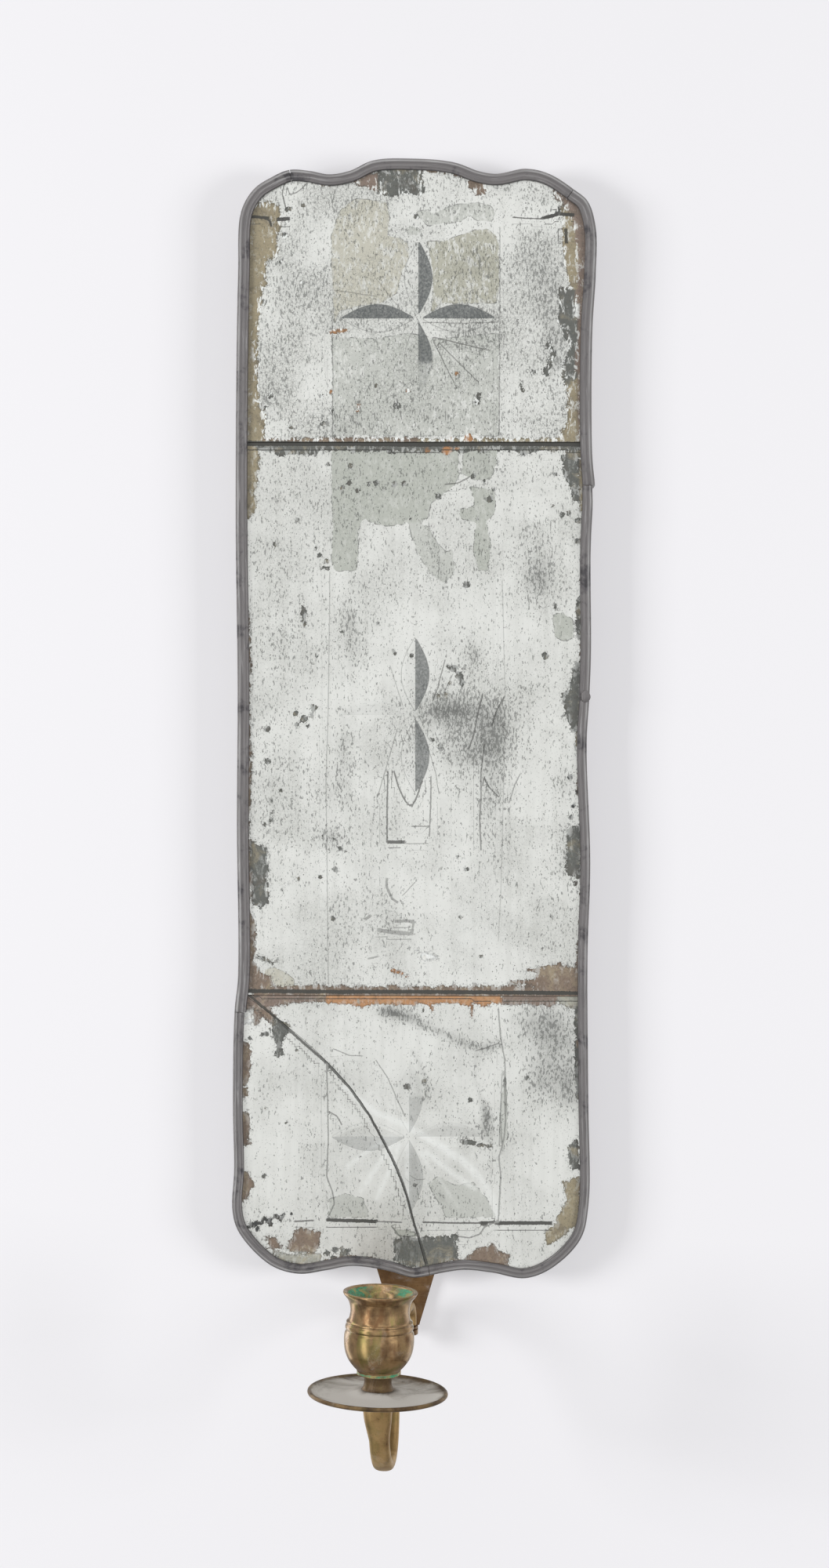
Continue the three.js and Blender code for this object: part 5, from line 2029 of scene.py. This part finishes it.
@dataclass(frozen=True)
class Hardware:
    """Bracket, hanger, nails, brads and tacks."""

    effects: SharedEffects
    plate_edge: float = 0.35 * MM
    nail_radii: Place = (2.9 * MM, 1.3 * MM)
    brad_radii: Place = (1.9 * MM, 0.8 * MM)
    head_shares: str = "0,0 0.55,0.04 0.9,0.12 0.985,0.3"

    def build(self) -> None:
        """Builds each of them."""
        iron = IronFinish(self.effects).dress()
        plate = BrassFinish(self.effects, BrassKind.PLATE).dress()
        bracket = self.eased("bracket_plate", "arm_bracket", plate)
        even_patina(bracket, 0.15, 0.2)
        seat(bracket, "frame", "bracket_brass", "arm_bracket")
        seat(self.eased("hanger_plate", "hanger_strap", iron), "frame", "iron", "hanger_strap")
        for node in sorted(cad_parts):
            if node.startswith(("bracket_nail", "hanger_nail")):
                self.nail(node, iron, *self.nail_radii)
            elif node.startswith("panel_brad"):
                self.nail(node, iron, *self.brad_radii)
            elif node.startswith("came_tack"):
                redress(node, iron)

    def eased(self, name: str, node: str, finish: Material) -> Object:
        """Copies a node and eases its sharp edges.

        Args:
            name: The new piece's name.
            node: The node to copy.
            finish: Its material.

        Returns:
            The new piece.
        """
        bm = solid_copy(node)
        steep = math.radians(40)
        crisp = [edge for edge in bm.edges if edge.is_manifold and edge.calc_face_angle() > steep]
        bmesh.ops.bevel(
            bm,
            geom=crisp,
            offset=self.plate_edge,
            offset_type="OFFSET",
            affect="EDGES",
            segments=2,
            profile=0.5,
            material=-1,
            clamp_overlap=True,
        )
        piece = finish_piece(name, bm, finish)
        sharpen(piece, 35)
        return piece

    def nail(self, node: str, finish: Material, head: float, shank: float) -> None:
        """Turns a nail with a hammered head in place of a plain one.

        Args:
            node: The nail's node.
            finish: Its material.
            head: Radius of its head.
            shank: Radius of its shank.
        """
        low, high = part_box(node)
        length = high.y - low.y
        crown = trail(self.head_shares) * (head, MM)
        bm = spun([*crown, (shank, head - shank), (shank, length - shank), (0, length)], 24)
        for vert in bm.verts:
            if vert.co.z < 0.2 * MM:
                vert.co.z += 0.06 * MM * noise.noise(vert.co * 900 + Vector((high.x, high.z, 0)) * 50)
        piece = finish_piece(f"{node}_forged", driven(bm, low, high), finish)
        sharpen(piece, 40)
        seat(piece, "frame", "iron", node)


@dataclass(frozen=True)
class WoodBack:
    """Rails, stiles, panel and pegs."""

    effects: SharedEffects
    peg_radius: float = 3.0 * MM

    def build(self) -> None:
        """Dresses the boards and turns the pegs."""
        upright = PineFinish(self.effects, PineKind.FRAME).dress()
        level = PineFinish(self.effects, PineKind.FRAME, along_rail=True).dress()
        panel = PineFinish(self.effects, PineKind.PANEL).dress()
        peg = PineFinish(self.effects, PineKind.PEG).dress()
        for node in ("crest_rail", "base_rail"):
            redress(node, level)
        for node in ("left_stile", "right_stile"):
            redress(node, upright)
        redress("back_panel", panel)
        for node in sorted(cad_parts):
            if node.startswith("corner_peg"):
                self.peg(node, peg)

    def peg(self, node: str, finish: Material) -> None:
        """Whittles one peg: eight uneven facets and an eased end.

        Args:
            node: The peg's node.
            finish: Its material.
        """
        low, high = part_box(node)
        length = high.y - low.y
        radius = self.peg_radius
        profile = [(0, 0), (radius * 0.9, 0), (radius * 0.99, 0.3 * MM)]
        profile += [(radius * 0.97, length - 1 * MM), (0, length)]
        bm = spun(profile, 8)
        for vert in bm.verts:
            facet = Vector((vert.co.x * 800, vert.co.y * 800, high.x * 90 + high.z * 40))
            pull = 1 - 0.05 * abs(noise.noise(facet))
            vert.co.x *= pull
            vert.co.y *= pull
        piece = finish_piece(f"{node}_whittled", driven(bm, low, high), finish, smooth=False)
        seat(piece, "frame", "peg_wood", node)


# Studio


@dataclass(frozen=True)
class Studio:
    """Pale wall and floor, soft lamps, the world and the camera."""

    wall_colour: Colour = linear(243, 242, 245)
    floor_colour: Colour = linear(238, 237, 240)
    wall_gap: float = 0.8 * MM
    floor_drop: float = 0.75
    size: float = 8.0
    camera_back: float = 1.2746
    eye_level: float = -34 * MM
    lens: float = 55.8
    glow: float = 0.45
    lamps: tuple = (
        ("key_lamp", (-2.15, -1.2, 0.1), 0.8, 48.0),
        ("fill_lamp", (2.15, -1.2, -0.1), 0.8, 34.0),
        ("back_lamp", (1.1, 1.7, 0.9), 1.3, 15.0),
        ("back_fill_lamp", (-1.5, 1.3, -0.1), 1.3, 8.0),
    )
    fill: float = 0.36
    fill_slope: float = 0.25
    mirrored: float = 0.6
    mirrored_ahead: float = 0.56
    mirrored_left: float = 2.6
    mirrored_right: float = 0.9
    left_box: tuple[Place, Place] = ((-0.62, -0.72), (-0.9, -0.8))
    right_box: tuple[Place, Place] = ((0.5, 0.7), (0.94, 0.78))

    def build(self) -> None:
        """Builds them all."""
        upright = Matrix.Translation((0, self.wall_gap, 0)) @ Matrix.Rotation(math.pi / 2, 4, "X")
        self.sheet("studio_wall", self.wall_colour, upright)
        self.sheet("studio_floor", self.floor_colour, Matrix.Translation((0, 0, -self.floor_drop)))
        for name, place, size, watts in self.lamps:
            data = bpy.data.lights.new(name, "AREA")
            data.size = size
            data.energy = watts
            lamp = self.stand(name, data, place, (-Vector(place)).to_track_quat("-Z", "Y").to_euler())
            lamp.visible_glossy = False
        self.world()
        data = bpy.data.cameras.new("camera")
        data.lens = self.lens
        data.sensor_width = 36
        place = (0, -self.camera_back, self.eye_level)
        bpy.context.scene.camera = self.stand("camera", data, place, (math.pi / 2, 0, 0))
        bpy.context.scene.view_settings.view_transform = "Standard"

    def stand(self, name: str, data: ID, place: Point, turn: Point) -> Object:
        """Stands a lamp or the camera in the scene.

        Args:
            name: Its name.
            data: What it is.
            place: Where it stands.
            turn: How it is turned.

        Returns:
            The object.
        """
        thing = bpy.data.objects.new(name, data)
        thing.location = place
        thing.rotation_euler = turn
        bpy.context.scene.collection.objects.link(thing)
        return thing

    def sheet(self, name: str, colour: Colour, place: Matrix) -> None:
        """A wide flat sheet that only the camera sees, and only from its front.

        Args:
            name: Its name.
            colour: Its colour.
            place: Where it lies.
        """
        bm = bmesh.new()
        bmesh.ops.create_grid(bm, x_segments=1, y_segments=1, size=self.size / 2, matrix=place)
        material, desk = new_material(name)
        desk.tree.nodes.clear()
        paint = desk.wire("BsdfDiffuse", {"Color": colour})
        light = desk.wire("Emission", {"Color": colour})
        lit = desk.wire("MixShader", {0: self.glow, 1: paint, 2: light})
        back = desk.wire("NewGeometry", {}, "Backfacing")
        shown = desk.wire("LightPath", {}, "Is Camera Ray") * (1.0 - back)
        mix = desk.wire("MixShader", {0: shown, 1: desk.wire("BsdfTransparent", {}), 2: lit})
        desk.put("OutputMaterial", {"Surface": mix})
        finish_piece(name, bm, material, smooth=False)

    def world(self) -> None:
        """Sets a world that is white to the camera, and is plain in the light and shaped in reflections."""
        world = bpy.data.worlds.new("studio")
        world.use_nodes = True
        bpy.context.scene.world = world
        desk = NodeDesk(world.node_tree)
        rays = desk.outputs(desk.put("LightPath", {}))
        across, _, height = desk.split(desk.wire("TexCoord", {}, "Generated"))
        turn = across / desk.math("SQRT", 1.001 - height * height)
        left, right = (
            desk.rise(turn, *inner) * desk.rise(turn, *outer)
            for inner, outer in (self.left_box, self.right_box)
        )
        boxes = left * self.mirrored_left + right * self.mirrored_right
        ahead = desk.rise(abs(across), 0.42, 0.12) * self.mirrored_ahead
        above = 0.5 + desk.rise(height, -0.75, -0.1) * 0.5
        level = desk.choose(rays["Is Camera Ray"], self.fill + height * self.fill_slope, 1.0)
        level = desk.choose(rays["Is Glossy Ray"], level, (self.mirrored + ahead + boxes) * above)
        level = desk.choose(rays["Is Transmission Ray"], level, 1.0)
        desk.join(world.node_tree.nodes["Background"], {"Color": (1, 1, 1, 1), "Strength": level})


def main() -> None:
    """Builds the studio and the sconce."""
    logging.basicConfig(level=logging.INFO, format="%(name)s: %(message)s")
    Studio().build()
    effects = SharedEffects.build()
    Mirror(SilverFinish().dress()).build()
    LeadEdge(LeadFinish(effects).dress()).build()
    CandleArm(effects).build()
    Hardware(effects).build()
    WoodBack(effects).build()


if __name__ == "__main__":
    main()
